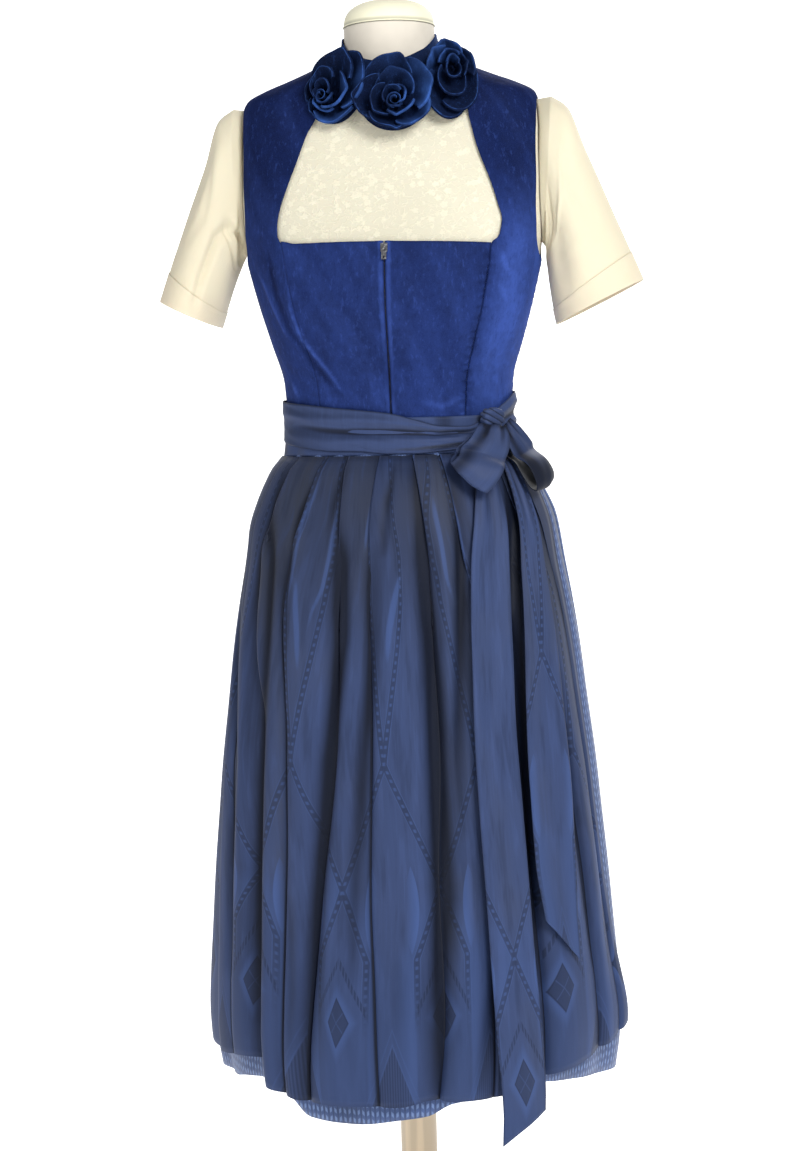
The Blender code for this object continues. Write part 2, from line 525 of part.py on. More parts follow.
def sleeve_rings(table, side, alongs, steps):
    """Points of a sleeve: its first ring is the blouse's armhole, its others come from the table."""
    turn = np.arange(steps) * math.tau / steps
    middle = (BLOUSE_ARMHOLE.top + BLOUSE_ARMHOLE.foot) / 2
    half = (BLOUSE_ARMHOLE.top - BLOUSE_ARMHOLE.foot) / 2 - 3 * GAP
    height = middle + half * np.cos(turn)
    reach = np.where(np.sin(turn) < 0, BLOUSE_ARMHOLE.front_degrees, BLOUSE_ARMHOLE.back_degrees) - 0.6
    degrees = 90.0 + np.sin(turn) * reach
    start = body_point(degrees, height) + surface_normal(body_point, degrees, height) * COTTON
    rings = [start]
    for row in table:
        outer = np.array([row.outer_x, 0.0, row.outer_z])
        inner = np.array([row.inner_x, 0.0, row.inner_z])
        centre, long_half = (outer + inner) / 2, (outer - inner) / 2
        depth = np.array([0.0, row.depth, 0.0])
        rings.append(centre + np.outer(np.cos(turn), long_half) + np.outer(np.sin(turn), depth))
    places = [0.0] + [row.along for row in table]
    stack = np.stack(rings).reshape(len(places), -1)
    points = np.stack([smooth(places, column, alongs) for column in stack.T], axis=1)
    points = points.reshape(len(alongs), steps, 3)
    points[..., 0] *= side
    return points


def ring_normals(points):
    """Outward unit normals of a tube of rings, from its neighbouring points."""
    around = np.roll(points, -1, axis=1) - np.roll(points, 1, axis=1)
    along = np.gradient(points, axis=0)
    normal = np.cross(along, around)
    outward = points - points.mean(axis=1, keepdims=True)
    normal *= np.sign(np.sum(normal * outward, axis=-1, keepdims=True))
    return normal / np.linalg.norm(normal, axis=-1, keepdims=True)


def tube_wall(name, points, inside, outside, side, finish):
    """A wall on a tube of rings; the rings of the right side run the other way round."""
    faces = grid_faces(points.shape[0], points.shape[1], closed=True)
    if side > 0:
        faces = faces[:, ::-1]
    return wall(name, points, ring_normals(points), inside, outside, faces, finish)


def blouse_out(heights):
    """How far the blouse's inner face is out."""
    return np.full(np.shape(heights), BLOUSE_OUT)


def make_blouse():
    """Front, back, two sleeves and their cuffs."""
    sizes = (blouse_out, COTTON, "blouse_cotton")
    half_and_half("blouse_front", BLOUSE_NECK, BLOUSE_ARMHOLE.front_degrees, BLOUSE_ARMHOLE,
                  BLOUSE_FOOT, BLOUSE_SHARES, 10, 0.0, *sizes)
    half_and_half("blouse_back", BLOUSE_NAPE, BLOUSE_ARMHOLE.back_degrees, BLOUSE_ARMHOLE,
                  BLOUSE_FOOT, BLOUSE_SHARES, 10, 180.0, *sizes)
    steps = 18
    for name, table, side in (("left", LEFT_SLEEVE, -1), ("right", RIGHT_SLEEVE, 1)):
        alongs = np.array([0.0, 0.05, 0.13, 0.22, 0.35, 0.50, 0.70, CUFF_START])
        tube = sleeve_rings(table, side, alongs, steps)
        tube_wall("blouse_sleeve_" + name, tube, -COTTON / 2, COTTON / 2, side, "blouse_cotton")
        cuff = sleeve_rings(table, side, np.array([CUFF_START + 0.004, 0.94, 1.0]), steps)
        tube_wall("blouse_cuff_" + name, cuff, -COTTON / 2, COTTON, side, "blouse_cotton")


# ---- bodice ------------------------------------------------------------------------------------


def bodice_out(heights):
    """How far the bodice's inner face is out."""
    return read_pairs(BODICE_OUTS, heights)


def make_bodice():
    """Two front panels at the zip, two side fronts with the straps, and the back."""
    foot = WAIST + GAP
    sizes = (bodice_out, VELVET, "velvet")
    heights = foot + (STRAP_TOP - foot) * np.array(BODICE_SHARES)
    corner = PRINCESS_SEAM[-1].height
    seam_heights = np.append(heights[heights < corner - 0.002], corner)
    seam = np.stack([seam_heights, read(PRINCESS_SEAM, "degrees", seam_heights)], axis=1)
    rise = NECKLINE_CENTRE - corner
    zip_edge = np.stack([seam_heights + rise * ease(seam_heights, 1.10, corner),
                         np.full(len(seam_heights), SEAM_ANGLE)], axis=1)
    panel("bodice_front_right", zip_edge, seam - [0.0, SEAM_ANGLE], 6, *sizes)
    panel("bodice_front_left", mirrored(seam - [0.0, SEAM_ANGLE]), mirrored(zip_edge), 6, *sizes)
    inner = np.stack([heights, read(PRINCESS_SEAM + NECKLINE[1:], "degrees", heights) + SEAM_ANGLE], axis=1)
    inner[-1, 1] = 90.0 - SEAM_ANGLE
    side = side_rows(foot, BODICE_ARMHOLE, BODICE_ARMHOLE.front_degrees, BODICE_SHARES)
    outer = np.stack([side[:, 0], 90.0 - side[:, 1]], axis=1)
    panel("bodice_side_front_right", inner, outer, 8, *sizes)
    panel("bodice_side_front_left", mirrored(outer), mirrored(inner), 8, *sizes)
    half_and_half("bodice_back", BACK_NECKLINE, BODICE_ARMHOLE.back_degrees, BODICE_ARMHOLE, foot,
                  BODICE_SHARES, 11, 180.0, *sizes)


# ---- zip ---------------------------------------------------------------------------------------


def box(name, size, centre, frame, finish):
    """A block of a size along a frame's axes, centred at a point given in that frame."""
    mesh = bpy.data.meshes.new(name)
    shape = bmesh.new()
    bmesh.ops.create_cube(shape, size=1.0, matrix=Matrix.Diagonal((*size, 1.0)))
    bmesh.ops.translate(shape, vec=centre, verts=shape.verts)
    bmesh.ops.transform(shape, matrix=frame, verts=shape.verts)
    shape.to_mesh(mesh)
    shape.free()
    return add_object(name, mesh, finish)


def hide_cutter(cutter):
    """Keep a cutter out of the model."""
    cutter.hide_render = True
    cutter.display_type = "WIRE"


def boolean(piece, other, operation):
    """Cut or join a piece by another one, which stays as a hidden guide."""
    modifier = piece.modifiers.new(operation.lower(), "BOOLEAN")
    modifier.operation = operation
    modifier.object = other
    hide_cutter(other)


def zip_frame():
    """Frame on the closed zip: X across, Y down along the velvet, Z out of it."""
    point = body_point(0.0, SLIDER_HEIGHT)
    normal = surface_normal(body_point, 0.0, SLIDER_HEIGHT)
    out = Vector(normal)
    across = Vector((-1.0, 0.0, 0.0))
    down = out.cross(across)
    origin = Vector(point) + out * (float(bodice_out(SLIDER_HEIGHT)) + VELVET + GAP)
    frame = Matrix((across, down, out)).transposed().to_4x4()
    frame.translation = origin
    return frame


def make_zip():
    """Slider with its bridge, and the pull tab whose bar turns under the bridge."""
    frame = zip_frame()
    width, length, thick = SLIDER
    slider = box("zip_slider", SLIDER, (0, 0, thick / 2), frame, "zip_metal")
    reach, span, rise = BRIDGE
    leg = 0.0010
    arch = box("bridge_block", (reach, span, rise + 0.0005), (0, 0, thick + (rise - 0.0005) / 2),
               frame, "zip_metal")
    boolean(slider, arch, "UNION")
    hollow = box("bridge_hollow", (reach * 2, span - 2 * leg, rise - leg), (0, 0, thick + (rise - leg) / 2),
                 frame, "zip_metal")
    boolean(slider, hollow, "DIFFERENCE")
    tab_frame = frame @ Matrix.Translation((0, 0, thick + PIN_RISE))
    pull_width, pull_length, pull_thick = TAB
    bar = pull_thick
    tab = box("zip_pull_tab", TAB, (0, pull_length / 2 - bar / 2, 0), tab_frame, "zip_metal")
    slot_width, slot_length = TAB_SLOT
    slot = box("tab_slot", (slot_width, slot_length, pull_thick * 3), (0, bar / 2 + slot_length / 2, 0),
               tab_frame, "zip_metal")
    boolean(tab, slot, "DIFFERENCE")
    mesh = bpy.data.meshes.new("tab_hole")
    shape = bmesh.new()
    place = tab_frame @ Matrix.Translation((0, pull_length - bar / 2 - 0.0026, 0))
    bmesh.ops.create_cone(shape, cap_ends=True, segments=16, radius1=TAB_HOLE, radius2=TAB_HOLE,
                          depth=pull_thick * 3, matrix=place)
    shape.to_mesh(mesh)
    shape.free()
    boolean(tab, add_object("tab_hole", mesh, "zip_metal"), "DIFFERENCE")


# ---- skirt and apron ---------------------------------------------------------------------------


def troughs(table, degrees, height):
    """Soft troughs that widen and deepen towards the hem, as a distance inwards."""
    depth = np.zeros(np.broadcast(degrees, height).shape)
    for row in table:
        angle = smooth(TROUGH_HEIGHTS, (row.hem, row.lower, row.upper, row.high), height)
        away = (degrees - angle + 180.0) % 360.0 - 180.0
        depth -= row.depth * np.exp(-(away / row.width) ** 2)
    return depth * ease(height, 0.960, 0.660)


def pleat_steps(degrees, height):
    """The apron's pressed pleats: each lies over the next one outwards and ends in a step."""
    lift = np.zeros(np.broadcast(degrees, height).shape)
    for row in APRON_PLEATS:
        edge = smooth(PLEAT_HEIGHTS, (row.hem, row.thigh, row.hip, row.waist), height)
        outwards = (degrees - edge) * row.side
        lift += PLEAT_STEP * ease(outwards, -9.0, 0.0) * (1 - ease(outwards, 0.0, 2.2))
    return lift * ease(height, 0.760, 0.900)


def skirt_out(degrees, height):
    """How far the skirt's inner face is out: it lies lower under the apron than beside it."""
    under = ease(np.abs(degrees), 88.0, 72.0) * ease(height, 0.985, 0.920)
    gathers = 0.0012 * np.sin(np.radians(degrees * 12.0)) * ease(height, 0.995, 0.960) \
        * ease(height, 0.700, 0.900)
    return SKIRT_OUT - 0.0165 * under + gathers + troughs(SKIRT_TROUGHS, degrees, height)


def apron_out(degrees, height):
    """How far the apron's inner face is out."""
    corner = 0.010 * ease(degrees, 66.0, APRON_RIGHT) * ease(height, 0.420, 0.310)
    return APRON_OUT + 0.0005 + pleat_steps(degrees, height) + troughs(APRON_TROUGHS, degrees, height) \
        + 0.0020 * ease(height, 0.990, 0.900) + corner


def hanging_wall(name, degrees, hem, top, heights, out, thickness, finish, closed=False):
    """A wall that hangs on the skirt's surface from `top` down to a hem that depends on the angle."""
    angles, share = np.meshgrid(degrees, heights)
    foot = read(hem, "height", angles)
    levels = foot + (top - foot) * share
    points = skirt_point(angles, levels)
    inside = out(angles, levels)
    faces = grid_faces(*angles.shape, closed=closed)
    normals = level_normal(skirt_point, angles, levels)
    return wall(name, points, normals, inside, inside + thickness, faces, finish)


def make_skirt():
    """Skirt front and back, which meet at the side seams, and the apron over the front."""
    shares = np.array([0.0, 0.05, 0.12, 0.22, 0.34, 0.48, 0.62, 0.75, 0.85, 0.92, 0.956, 0.978, 1.0])
    front = np.linspace(-90.0 + SEAM_ANGLE, 90.0 - SEAM_ANGLE, 25)
    back = np.linspace(90.0 + SEAM_ANGLE, 270.0 - SEAM_ANGLE, 35)
    sizes = (SKIRT_HEM, WAIST, shares, skirt_out, SKIRTING, "skirt_cotton")
    hanging_wall("skirt_front", front, *sizes)
    hanging_wall("skirt_back", back, *sizes)
    apron_shares = np.array([0.0, 0.06, 0.16, 0.28, 0.42, 0.57, 0.70, 0.81, 0.90, 0.96, 1.0])
    apron = np.linspace(APRON_LEFT, APRON_RIGHT, 51)
    hanging_wall("apron", apron, APRON_HEM, BAND_FOOT - GAP, apron_shares, apron_out, TAFFETA, "taffeta")


# ---- tie and bow -------------------------------------------------------------------------------


def make_sash():
    """The apron's band, and the tie that goes round the waist over it."""
    angles, levels = np.meshgrid(np.linspace(APRON_LEFT, APRON_RIGHT, 25),
                                 np.linspace(BAND_FOOT, BAND_TOP, 4))
    normals = level_normal(skirt_point, angles, levels)
    wall("apron_band", skirt_point(angles, levels), normals, BAND_OUT, BAND_OUT + TAFFETA,
         grid_faces(*angles.shape), "taffeta")
    angles, share = np.meshgrid(np.arange(-90.0, 270.0, 9.0), (0.0, 0.35, 0.7, 1.0))
    foot, top, out = (read(SASH, name, angles) for name in ("foot", "top", "out"))
    levels = foot + (top - foot) * share
    normals = level_normal(skirt_point, angles, levels)
    wall("sash_wrap", skirt_point(angles, levels), normals, out, out + TAFFETA,
         grid_faces(*angles.shape, closed=True), "taffeta")


def knot_frame():
    """Frame of the knot: X along the waist, Y out of the sash, Z up, at the sash's outer face."""
    point = skirt_point(KNOT.degrees, KNOT.height)
    normal = level_normal(skirt_point, KNOT.degrees, KNOT.height)
    out, up = Vector(normal), Vector((0.0, 0.0, 1.0))
    across = up.cross(out)
    frame = Matrix((across, out, up)).transposed().to_4x4()
    sash_face = float(read(SASH, "out", KNOT.degrees)) + TAFFETA
    frame.translation = Vector(point) + out * (sash_face + 2 * GAP)
    return frame


def make_knot():
    """The knot, a soft block pressed flat on the sash."""
    mesh = bpy.data.meshes.new("sash_knot")
    shape = bmesh.new()
    bmesh.ops.create_uvsphere(shape, u_segments=14, v_segments=9, radius=1.0)
    for vertex in shape.verts:
        x, y, z = vertex.co
        swell = (abs(x) ** 3 + abs(y) ** 3 + abs(z) ** 3) ** (-1 / 3)
        vertex.co = (x * swell * KNOT_HALF[0], (y * swell + 1.0) * KNOT_HALF[1] , z * swell * KNOT_HALF[2])
    bmesh.ops.transform(shape, matrix=knot_frame(), verts=shape.verts)
    bmesh.ops.recalc_face_normals(shape, faces=shape.faces)
    shape.to_mesh(mesh)
    shape.free()
    add_object("sash_knot", mesh, "taffeta")


def make_loop(name, table, steps):
    """One loop of the bow: a ribbon that leaves the knot, turns over and comes back to it."""
    places = np.linspace(0.0, 1.0, len(table))
    at = np.linspace(0.0, 1.0, steps)
    degrees, height, out, half, way_across, way_up = (
        smooth(places, [getattr(row, key) for row in table], at) for key in Loop._fields)
    outward = level_normal(skirt_point, degrees, height)
    line = skirt_point(degrees, height) + outward * out[:, None]
    upward = skirt_point(degrees, height + 0.005) - skirt_point(degrees, height - 0.005)
    upward /= np.linalg.norm(upward, axis=1, keepdims=True)
    along_waist = np.cross([0.0, 0.0, 1.0], outward)
    way = along_waist * way_across[:, None] + upward * way_up[:, None]
    way /= np.linalg.norm(way, axis=1, keepdims=True)
    normal = np.cross(np.gradient(line, axis=0), way)
    normal /= np.linalg.norm(normal, axis=1, keepdims=True)
    across = np.array([-1.0, -0.4, 0.4, 1.0])
    points = line[:, None] + (across * half[:, None])[..., None] * way[:, None]
    normals = np.broadcast_to(normal[:, None], points.shape)
    faces = grid_faces(*points.shape[:2])[:, ::-1]
    wall(name, points, normals, -TAFFETA / 2, TAFFETA / 2, faces, "taffeta")


def make_tail(name, table, rows):
    """A hanging end of the tie, which lies over the apron."""
    top = table[-1].height
    share = np.linspace(0.0, 1.0, rows)
    columns = np.array([0.0, 0.33, 0.67, 1.0])
    slant = table[1].height - table[0].height
    at_left = name.endswith("long")
    foot = table[0].height + slant * (columns if at_left else 1 - columns)
    levels = foot[None, :] + (top - foot[None, :]) * share[:, None]
    left, right = read(table[1:], "left", levels), read(table[1:], "right", levels)
    degrees = left + (right - left) * columns[None, :]
    out = read_pairs(TAIL_OUTS, levels) + 0.0012 * np.sin(columns * math.tau)[None, :]
    normals = level_normal(skirt_point, degrees, levels)
    wall(name, skirt_point(degrees, levels), normals, out, out + TAFFETA,
         grid_faces(*degrees.shape), "taffeta")


def make_bow():
    """Knot, two loops and two hanging ends."""
    make_knot()
    make_loop("bow_loop_front", FRONT_LOOP, 19)
    make_loop("bow_loop_side", SIDE_LOOP, 17)
    make_tail("sash_tail_long", LONG_TAIL, 18)
    make_tail("sash_tail_short", SHORT_TAIL, 15)


# ---- rose collar -------------------------------------------------------------------------------


def make_collar_band():
    """The velvet band round the neck that carries the roses."""
    angles, share = np.meshgrid(np.arange(-180.0, 180.0, 15.0), (0.0, 1.0))
    foot, top = read(COLLAR, "foot", angles), read(COLLAR, "top", angles)
    levels = foot + (top - foot) * share
    normals = level_normal(body_point, angles, levels)
    wall("rose_band", body_point(angles, levels), normals, COLLAR_OUT, COLLAR_OUT + VELVET,
         grid_faces(*angles.shape, closed=True), "velvet")


def make_rose(rose):
    """A rolled rose: a strip wound outwards in turns that lean back more and more."""
    turned, tilt = math.radians(rose.turned), math.radians(rose.tilt)
    out = np.array([math.sin(turned) * math.cos(tilt), -math.cos(turned) * math.cos(tilt), math.sin(tilt)])
    side = np.cross([0.0, 0.0, 1.0], out)
    side /= np.linalg.norm(side)
    up = np.cross(out, side)
    steps = int(rose.turns * 15) + 1
    share = np.linspace(0.0, 1.0, steps)[:, None]
    rise = np.array([0.0, 0.45, 1.0])[None, :]
    turn = share * rose.turns * math.tau + math.radians(rose.twist)
    foot_radius = ROSE_CORE + (ROSE_FOOT - ROSE_CORE) * share
    wave = 1 + 0.06 * share * np.sin(turn * 2.6 + rose.twist)
    top_radius = (foot_radius + 0.001 + (rose.half_height - foot_radius - 0.001) * share ** 1.2) * wave
    depth = rose.depth * (1 - 0.55 * share ** 1.5) + 0.003 * share * np.sin(turn * 2.2)
    radius = foot_radius + (top_radius - foot_radius) * rise ** (1 + share)
    lift = depth * (1 - (1 - rise) ** (1 + share * 0.8))
    side = side * rose.half_width / rose.half_height
    base = np.array([rose.x, rose.y, rose.z])
    points = base + radius[..., None] * (np.cos(turn)[..., None] * side + np.sin(turn)[..., None] * up) \
        + lift[..., None] * out
    around = np.gradient(points, axis=0)
    along = np.gradient(points, axis=1)
    normal = np.cross(around, along)
    normal /= np.linalg.norm(normal, axis=-1, keepdims=True)
    faces = grid_faces(*points.shape[:2])
    faces = faces.reshape(-1, 4)[:, ::-1]
    wall(rose.name, points, normal, -VELVET * 0.4, VELVET * 0.4, faces, "velvet")


# ---- the whole ---------------------------------------------------------------------------------


def main():
    """Build every piece."""
    for piece in list(bpy.data.objects):
        bpy.data.objects.remove(piece, do_unlink=True)
    make_form()
    make_stand()
    make_blouse()
    make_bodice()
    make_zip()
    make_skirt()
    make_sash()
    make_bow()
    make_collar_band()
    for rose in ROSES:
        make_rose(rose)


if __name__ == "__main__":
    main()
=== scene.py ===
"""Cloth, trims, finishes and stage of a dirndl outfit on a dress form.

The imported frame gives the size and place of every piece.  Each visible piece is a surface worked
out on a grid of two parameters: an angle around the body in degrees (0 front centre, 90 the +X
side, 180 the centre back) and a height in metres, laid on the body or on the skirt's form.
"""

import json
import math
from collections import namedtuple

import bpy
import numpy as np
from bpy.props import FloatProperty, FloatVectorProperty, IntProperty, PointerProperty
from mathutils import Matrix, Vector

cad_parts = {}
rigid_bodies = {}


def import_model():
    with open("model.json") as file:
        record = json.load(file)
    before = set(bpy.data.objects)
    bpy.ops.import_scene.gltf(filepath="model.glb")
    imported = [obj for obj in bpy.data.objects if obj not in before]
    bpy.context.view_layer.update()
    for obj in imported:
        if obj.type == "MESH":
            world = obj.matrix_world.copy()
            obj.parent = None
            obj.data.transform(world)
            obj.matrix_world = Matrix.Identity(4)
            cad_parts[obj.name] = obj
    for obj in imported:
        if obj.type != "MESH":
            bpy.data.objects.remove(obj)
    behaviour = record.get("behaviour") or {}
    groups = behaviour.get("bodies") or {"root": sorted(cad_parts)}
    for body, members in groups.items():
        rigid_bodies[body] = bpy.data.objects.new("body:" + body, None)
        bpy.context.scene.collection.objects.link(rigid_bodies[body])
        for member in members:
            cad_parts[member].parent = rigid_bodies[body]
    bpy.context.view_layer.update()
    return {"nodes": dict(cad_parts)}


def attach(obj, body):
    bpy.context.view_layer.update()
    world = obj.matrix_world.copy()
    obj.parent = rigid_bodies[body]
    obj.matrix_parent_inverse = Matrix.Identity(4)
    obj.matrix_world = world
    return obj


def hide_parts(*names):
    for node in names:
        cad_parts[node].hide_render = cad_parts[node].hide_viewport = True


for leftover in list(bpy.data.objects):
    bpy.data.objects.remove(leftover, do_unlink=True)
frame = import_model()

bl_info = {
    "name": "Dirndl outfit",
    "version": (1, 0, 0),
    "blender": (4, 5, 0),
    "location": "3D View > Sidebar > Dirndl",
    "description": "Builds the cloth, trims and stage of a dirndl outfit on a dress form",
    "category": "Object",
}

# ---- the figure and the skirt's form, as level sections ----

# Rows of (height, half width, depth to the front, depth to the back, squareness).
BODY = (
    (0.79, 0.148, 0.096, 0.108, 2.0), (0.83, 0.163, 0.107, 0.124, 2.0), (0.88, 0.16, 0.104, 0.121, 2.0),
    (0.95, 0.146, 0.097, 0.109, 2.0), (1.03, 0.1325, 0.09, 0.0945, 2.1), (1.08, 0.1345, 0.095, 0.098, 2.1),
    (1.13, 0.147, 0.109, 0.1035, 2.2), (1.18, 0.1605, 0.121, 0.109, 2.25),
    (1.23, 0.1725, 0.115, 0.1125, 2.4), (1.27, 0.1785, 0.102, 0.112, 2.7), (1.32, 0.18, 0.087, 0.107, 2.9),
    (1.37, 0.1785, 0.0745, 0.096, 2.8), (1.4, 0.174, 0.0665, 0.085, 2.6), (1.414, 0.168, 0.062, 0.076, 2.4),
    (1.424, 0.15, 0.059, 0.069, 2.2), (1.434, 0.124, 0.057, 0.064, 2.1), (1.444, 0.099, 0.056, 0.06, 2.0),
    (1.454, 0.076, 0.055, 0.057, 2.0), (1.464, 0.061, 0.0545, 0.055, 2.0),
    (1.476, 0.055, 0.054, 0.054, 2.0), (1.5, 0.054, 0.054, 0.054, 2.0),
)
FLARE_TOP = 0.994               # below this height the skirt's form leaves the body
SKIRT = (
    (0.2, 0.235, 0.21, 0.216, 2.0), (0.24, 0.239, 0.212, 0.218, 2.0), (0.265, 0.243, 0.214, 0.22, 2.0),
    (0.291, 0.2455, 0.215, 0.222, 2.0), (0.317, 0.2465, 0.215, 0.2225, 2.0),
    (0.367, 0.244, 0.212, 0.219, 2.0), (0.418, 0.24, 0.206, 0.2135, 2.0), (0.494, 0.234, 0.198, 0.206, 2.0),
    (0.569, 0.2265, 0.19, 0.1985, 2.0), (0.619, 0.2215, 0.183, 0.192, 2.0),
    (0.693, 0.212, 0.1725, 0.1815, 2.0), (0.767, 0.2025, 0.1615, 0.1705, 2.0),
    (0.816, 0.1945, 0.1535, 0.1625, 2.0), (0.865, 0.185, 0.1445, 0.1535, 2.0),
    (0.914, 0.176, 0.1345, 0.1425, 2.0), (0.938, 0.1685, 0.1275, 0.1345, 2.0),
    (0.962, 0.159, 0.118, 0.1245, 2.0), (0.984, 0.147, 0.105, 0.111, 2.05),
)

WAIST = 1.03                    # seam between bodice and skirt
BAND_FOOT = 0.9965              # lower edge of the apron's band
BAND_TOP = 1.04
UNDERARM = 1.222
SHOULDER_TIP = 1.414
STRAP_TOP = 1.456
NECK_TOP = 1.5
CAP_TOP = 1.533
FORM_FOOT = 0.79
GAP = 0.12                      # degrees left open at the zip and at the body's sides
PER_DEGREE = 0.0026             # metres around the body for one degree
PER_DEGREE_WAIST = 0.0027       # and of the cloth round the waist
PER_DEGREE_HIP = 0.0037         # and around the hips

# (height, distance out of the body's surface) of the form, and of the bodice's inner face
FORM_UNDER = (
    (0.79, 0.003), (1.3, 0.003), (1.37, 0.0044), (1.41, 0.0059), (1.44, 0.0059), (1.466, 0.001),
    (1.5, 0.0003),
)
BODICE_OUTS = (
    (1.03, 0.002), (1.09, 0.002), (1.16, 0.0032), (1.29, 0.0034), (1.38, 0.0036), (1.415, 0.0048),
    (1.443, 0.0048),
)

# Cut edges as (height, degrees) from the waist up; the back's are counted from the back centre.
PRINCESS_SEAM = ((1.03, 38.5), (1.096, 39.5), (1.136, 40.2), (1.168, 41.2), (1.208, 41), (1.238, 40.2))
NECKLINE_CENTRE = 1.241
NECKLINE_RIGHT = (
    (1.238, 40.2), (1.246, 43), (1.262, 42.9), (1.284, 40.3), (1.313, 36.7), (1.34, 33.5), (1.365, 31.5),
    (1.39, 30.4), (1.412, 33), (1.431, 43), (1.446, 60), (STRAP_TOP, 90),
)
NECKLINE_LEFT = (
    (1.2435, 40.2), (1.251, 41.2), (1.264, 40.6), (1.282, 38.9), (1.304, 36), (1.334, 32.2), (1.369, 28.5),
    (1.394, 25.2), (1.412, 28), (1.431, 40), (1.446, 60), (STRAP_TOP, 90),
)
BACK_NECKLINE = (
    (1.3736, 0), (1.3744, 6), (1.3766, 12), (1.388, 24), (1.405, 36), (1.422, 51), (1.434, 68),
    (STRAP_TOP, 90),
)
BLOUSE_NECK = ((1.402, 0), (1.405, 12), (1.412, 26), (1.424, 44), (1.438, 66), (1.45, 90))
BLOUSE_NAPE = ((1.428, 0), (1.43, 18), (1.436, 40), (1.443, 64), (1.45, 90))
BLOUSE_FOOT = 1.15

Opening = namedtuple("Opening", "foot top front_degrees back_degrees squareness")
BODICE_ARMHOLE = Opening(UNDERARM, SHOULDER_TIP, 30.0, 27.0, 2.6)
BLOUSE_ARMHOLE = Opening(1.243, 1.41, 24.0, 22.0, 2.2)

# ---- curves and surfaces ----


def shares(count):
    """Even steps from 0 to 1."""
    return np.linspace(0.0, 1.0, count)


def smooth(places, values, at):
    """A smooth curve through (places, values) that never overshoots.

    Formula: cubic Hermite between the points, with harmonic means of the neighbouring slopes."""
    places, values = np.asarray(places, float), np.asarray(values, float)
    at = np.clip(np.asarray(at, float), places[0], places[-1])
    secants = np.diff(values) / np.diff(places)
    rising = secants[:-1] * secants[1:] > 0
    total = np.where(rising, secants[:-1] + secants[1:], 1.0)
    middle = np.where(rising, 2 * secants[:-1] * secants[1:] / total, 0.0)
    slopes = np.concatenate(([secants[0]], middle, [secants[-1]]))
    i = np.clip(np.searchsorted(places, at, side="right") - 1, 0, len(places) - 2)
    step = places[i + 1] - places[i]
    u = (at - places[i]) / step
    start = (1 + 2 * u) * (1 - u) ** 2 * values[i] + u * (1 - u) ** 2 * step * slopes[i]
    end = u * u * (3 - 2 * u) * values[i + 1] + u * u * (u - 1) * step * slopes[i + 1]
    return start + end


def ease(value, start, end):
    """0 before start, 1 after end, and a soft step between them; start may be above end."""
    u = np.clip((np.asarray(value, float) - start) / (end - start), 0.0, 1.0)
    return u * u * (3 - 2 * u)


def columns_of(table, at):
    """Every further column of a table, read where its first column is `at`."""
    places, *columns = zip(*table)
    return [smooth(places, column, at) for column in columns]


def read(pairs, at):
    """Read a table of (place, value) pairs."""
    return columns_of(pairs, at)[0]


def stack(*columns):
    """Join the coordinates of points; columns of different shapes are stretched to fit each other."""
    return np.stack(np.broadcast_arrays(*columns), axis=-1)


def centred(degrees):
    """Degrees brought between -180 and 180."""
    return (degrees + 180.0) % 360.0 - 180.0


def section_point(sizes, degrees, height):
    """A point of a level section: an ellipse whose corners are filled by its squareness."""
    half_width, front, back, squareness = sizes
    angle = np.radians(degrees)
    sine, cosine = np.sin(angle), np.cos(angle)
    reach = (np.abs(sine) ** squareness + np.abs(cosine) ** squareness) ** (-1 / squareness)
    depth = np.where(cosine > 0, front, back)
    return stack(half_width * sine * reach, -depth * cosine * reach, height)


FLARE = SKIRT + ((FLARE_TOP, *(float(size) for size in columns_of(BODY, FLARE_TOP))),)


def body_point(degrees, height):
    """A point of the body's surface."""
    return section_point(columns_of(BODY, height), degrees, height)


def skirt_point(degrees, height):
    """A point of the form that the skirt hangs on: the body above FLARE_TOP, the flare below."""
    above, below = columns_of(BODY, height), columns_of(FLARE, height)
    sizes = [np.where(np.asarray(height) >= FLARE_TOP, a, b) for a, b in zip(above, below)]
    return section_point(sizes, degrees, height)


def unit(vectors):
    """Vectors scaled to length 1."""
    return vectors / np.maximum(np.linalg.norm(vectors, axis=-1, keepdims=True), 1e-12)


def body_normal(degrees, height):
    """The body's outward normal: the cross product of its two slopes."""
    across = body_point(degrees + 0.5, height) - body_point(degrees - 0.5, height)
    up = body_point(degrees, height + 0.001) - body_point(degrees, height - 0.001)
    return unit(np.cross(across, up))


def level_normal(surface, degrees, height):
    """The outward normal of a surface's level section, which has no height."""
    across = surface(degrees + 0.5, height) - surface(degrees - 0.5, height)
    return unit(stack(across[..., 1], -across[..., 0], 0.0))


def on_body(degrees, height, out):
    """Points that lie `out` metres off the body along its normal."""
    return body_point(degrees, height) + body_normal(degrees, height) * np.asarray(out)[..., None]


def on_skirt(degrees, height, out):
    """Points that lie `out` metres off the skirt's form, measured level."""
    outward = level_normal(skirt_point, degrees, height)
    return skirt_point(degrees, height) + outward * np.asarray(out)[..., None]


def wander(seed, value, count=5, start=1.0):
    """A smooth irregular wave between about -1 and 1.

    Formula: a sum of sines whose frequencies grow by irregular steps, with phases from the seed."""
    k = np.arange(count)
    rate = start * (1.0 + k * 0.83 + 0.37 * np.sin(seed * 1.7 + k * 2.1))
    phase = seed * 12.9898 + k * 4.1414
    weight = 1.0 / (1.0 + 0.6 * k)
    waves = weight * np.sin(np.asarray(value)[..., None] * rate + phase)
    return np.sum(waves, axis=-1) / weight.sum() * 1.5


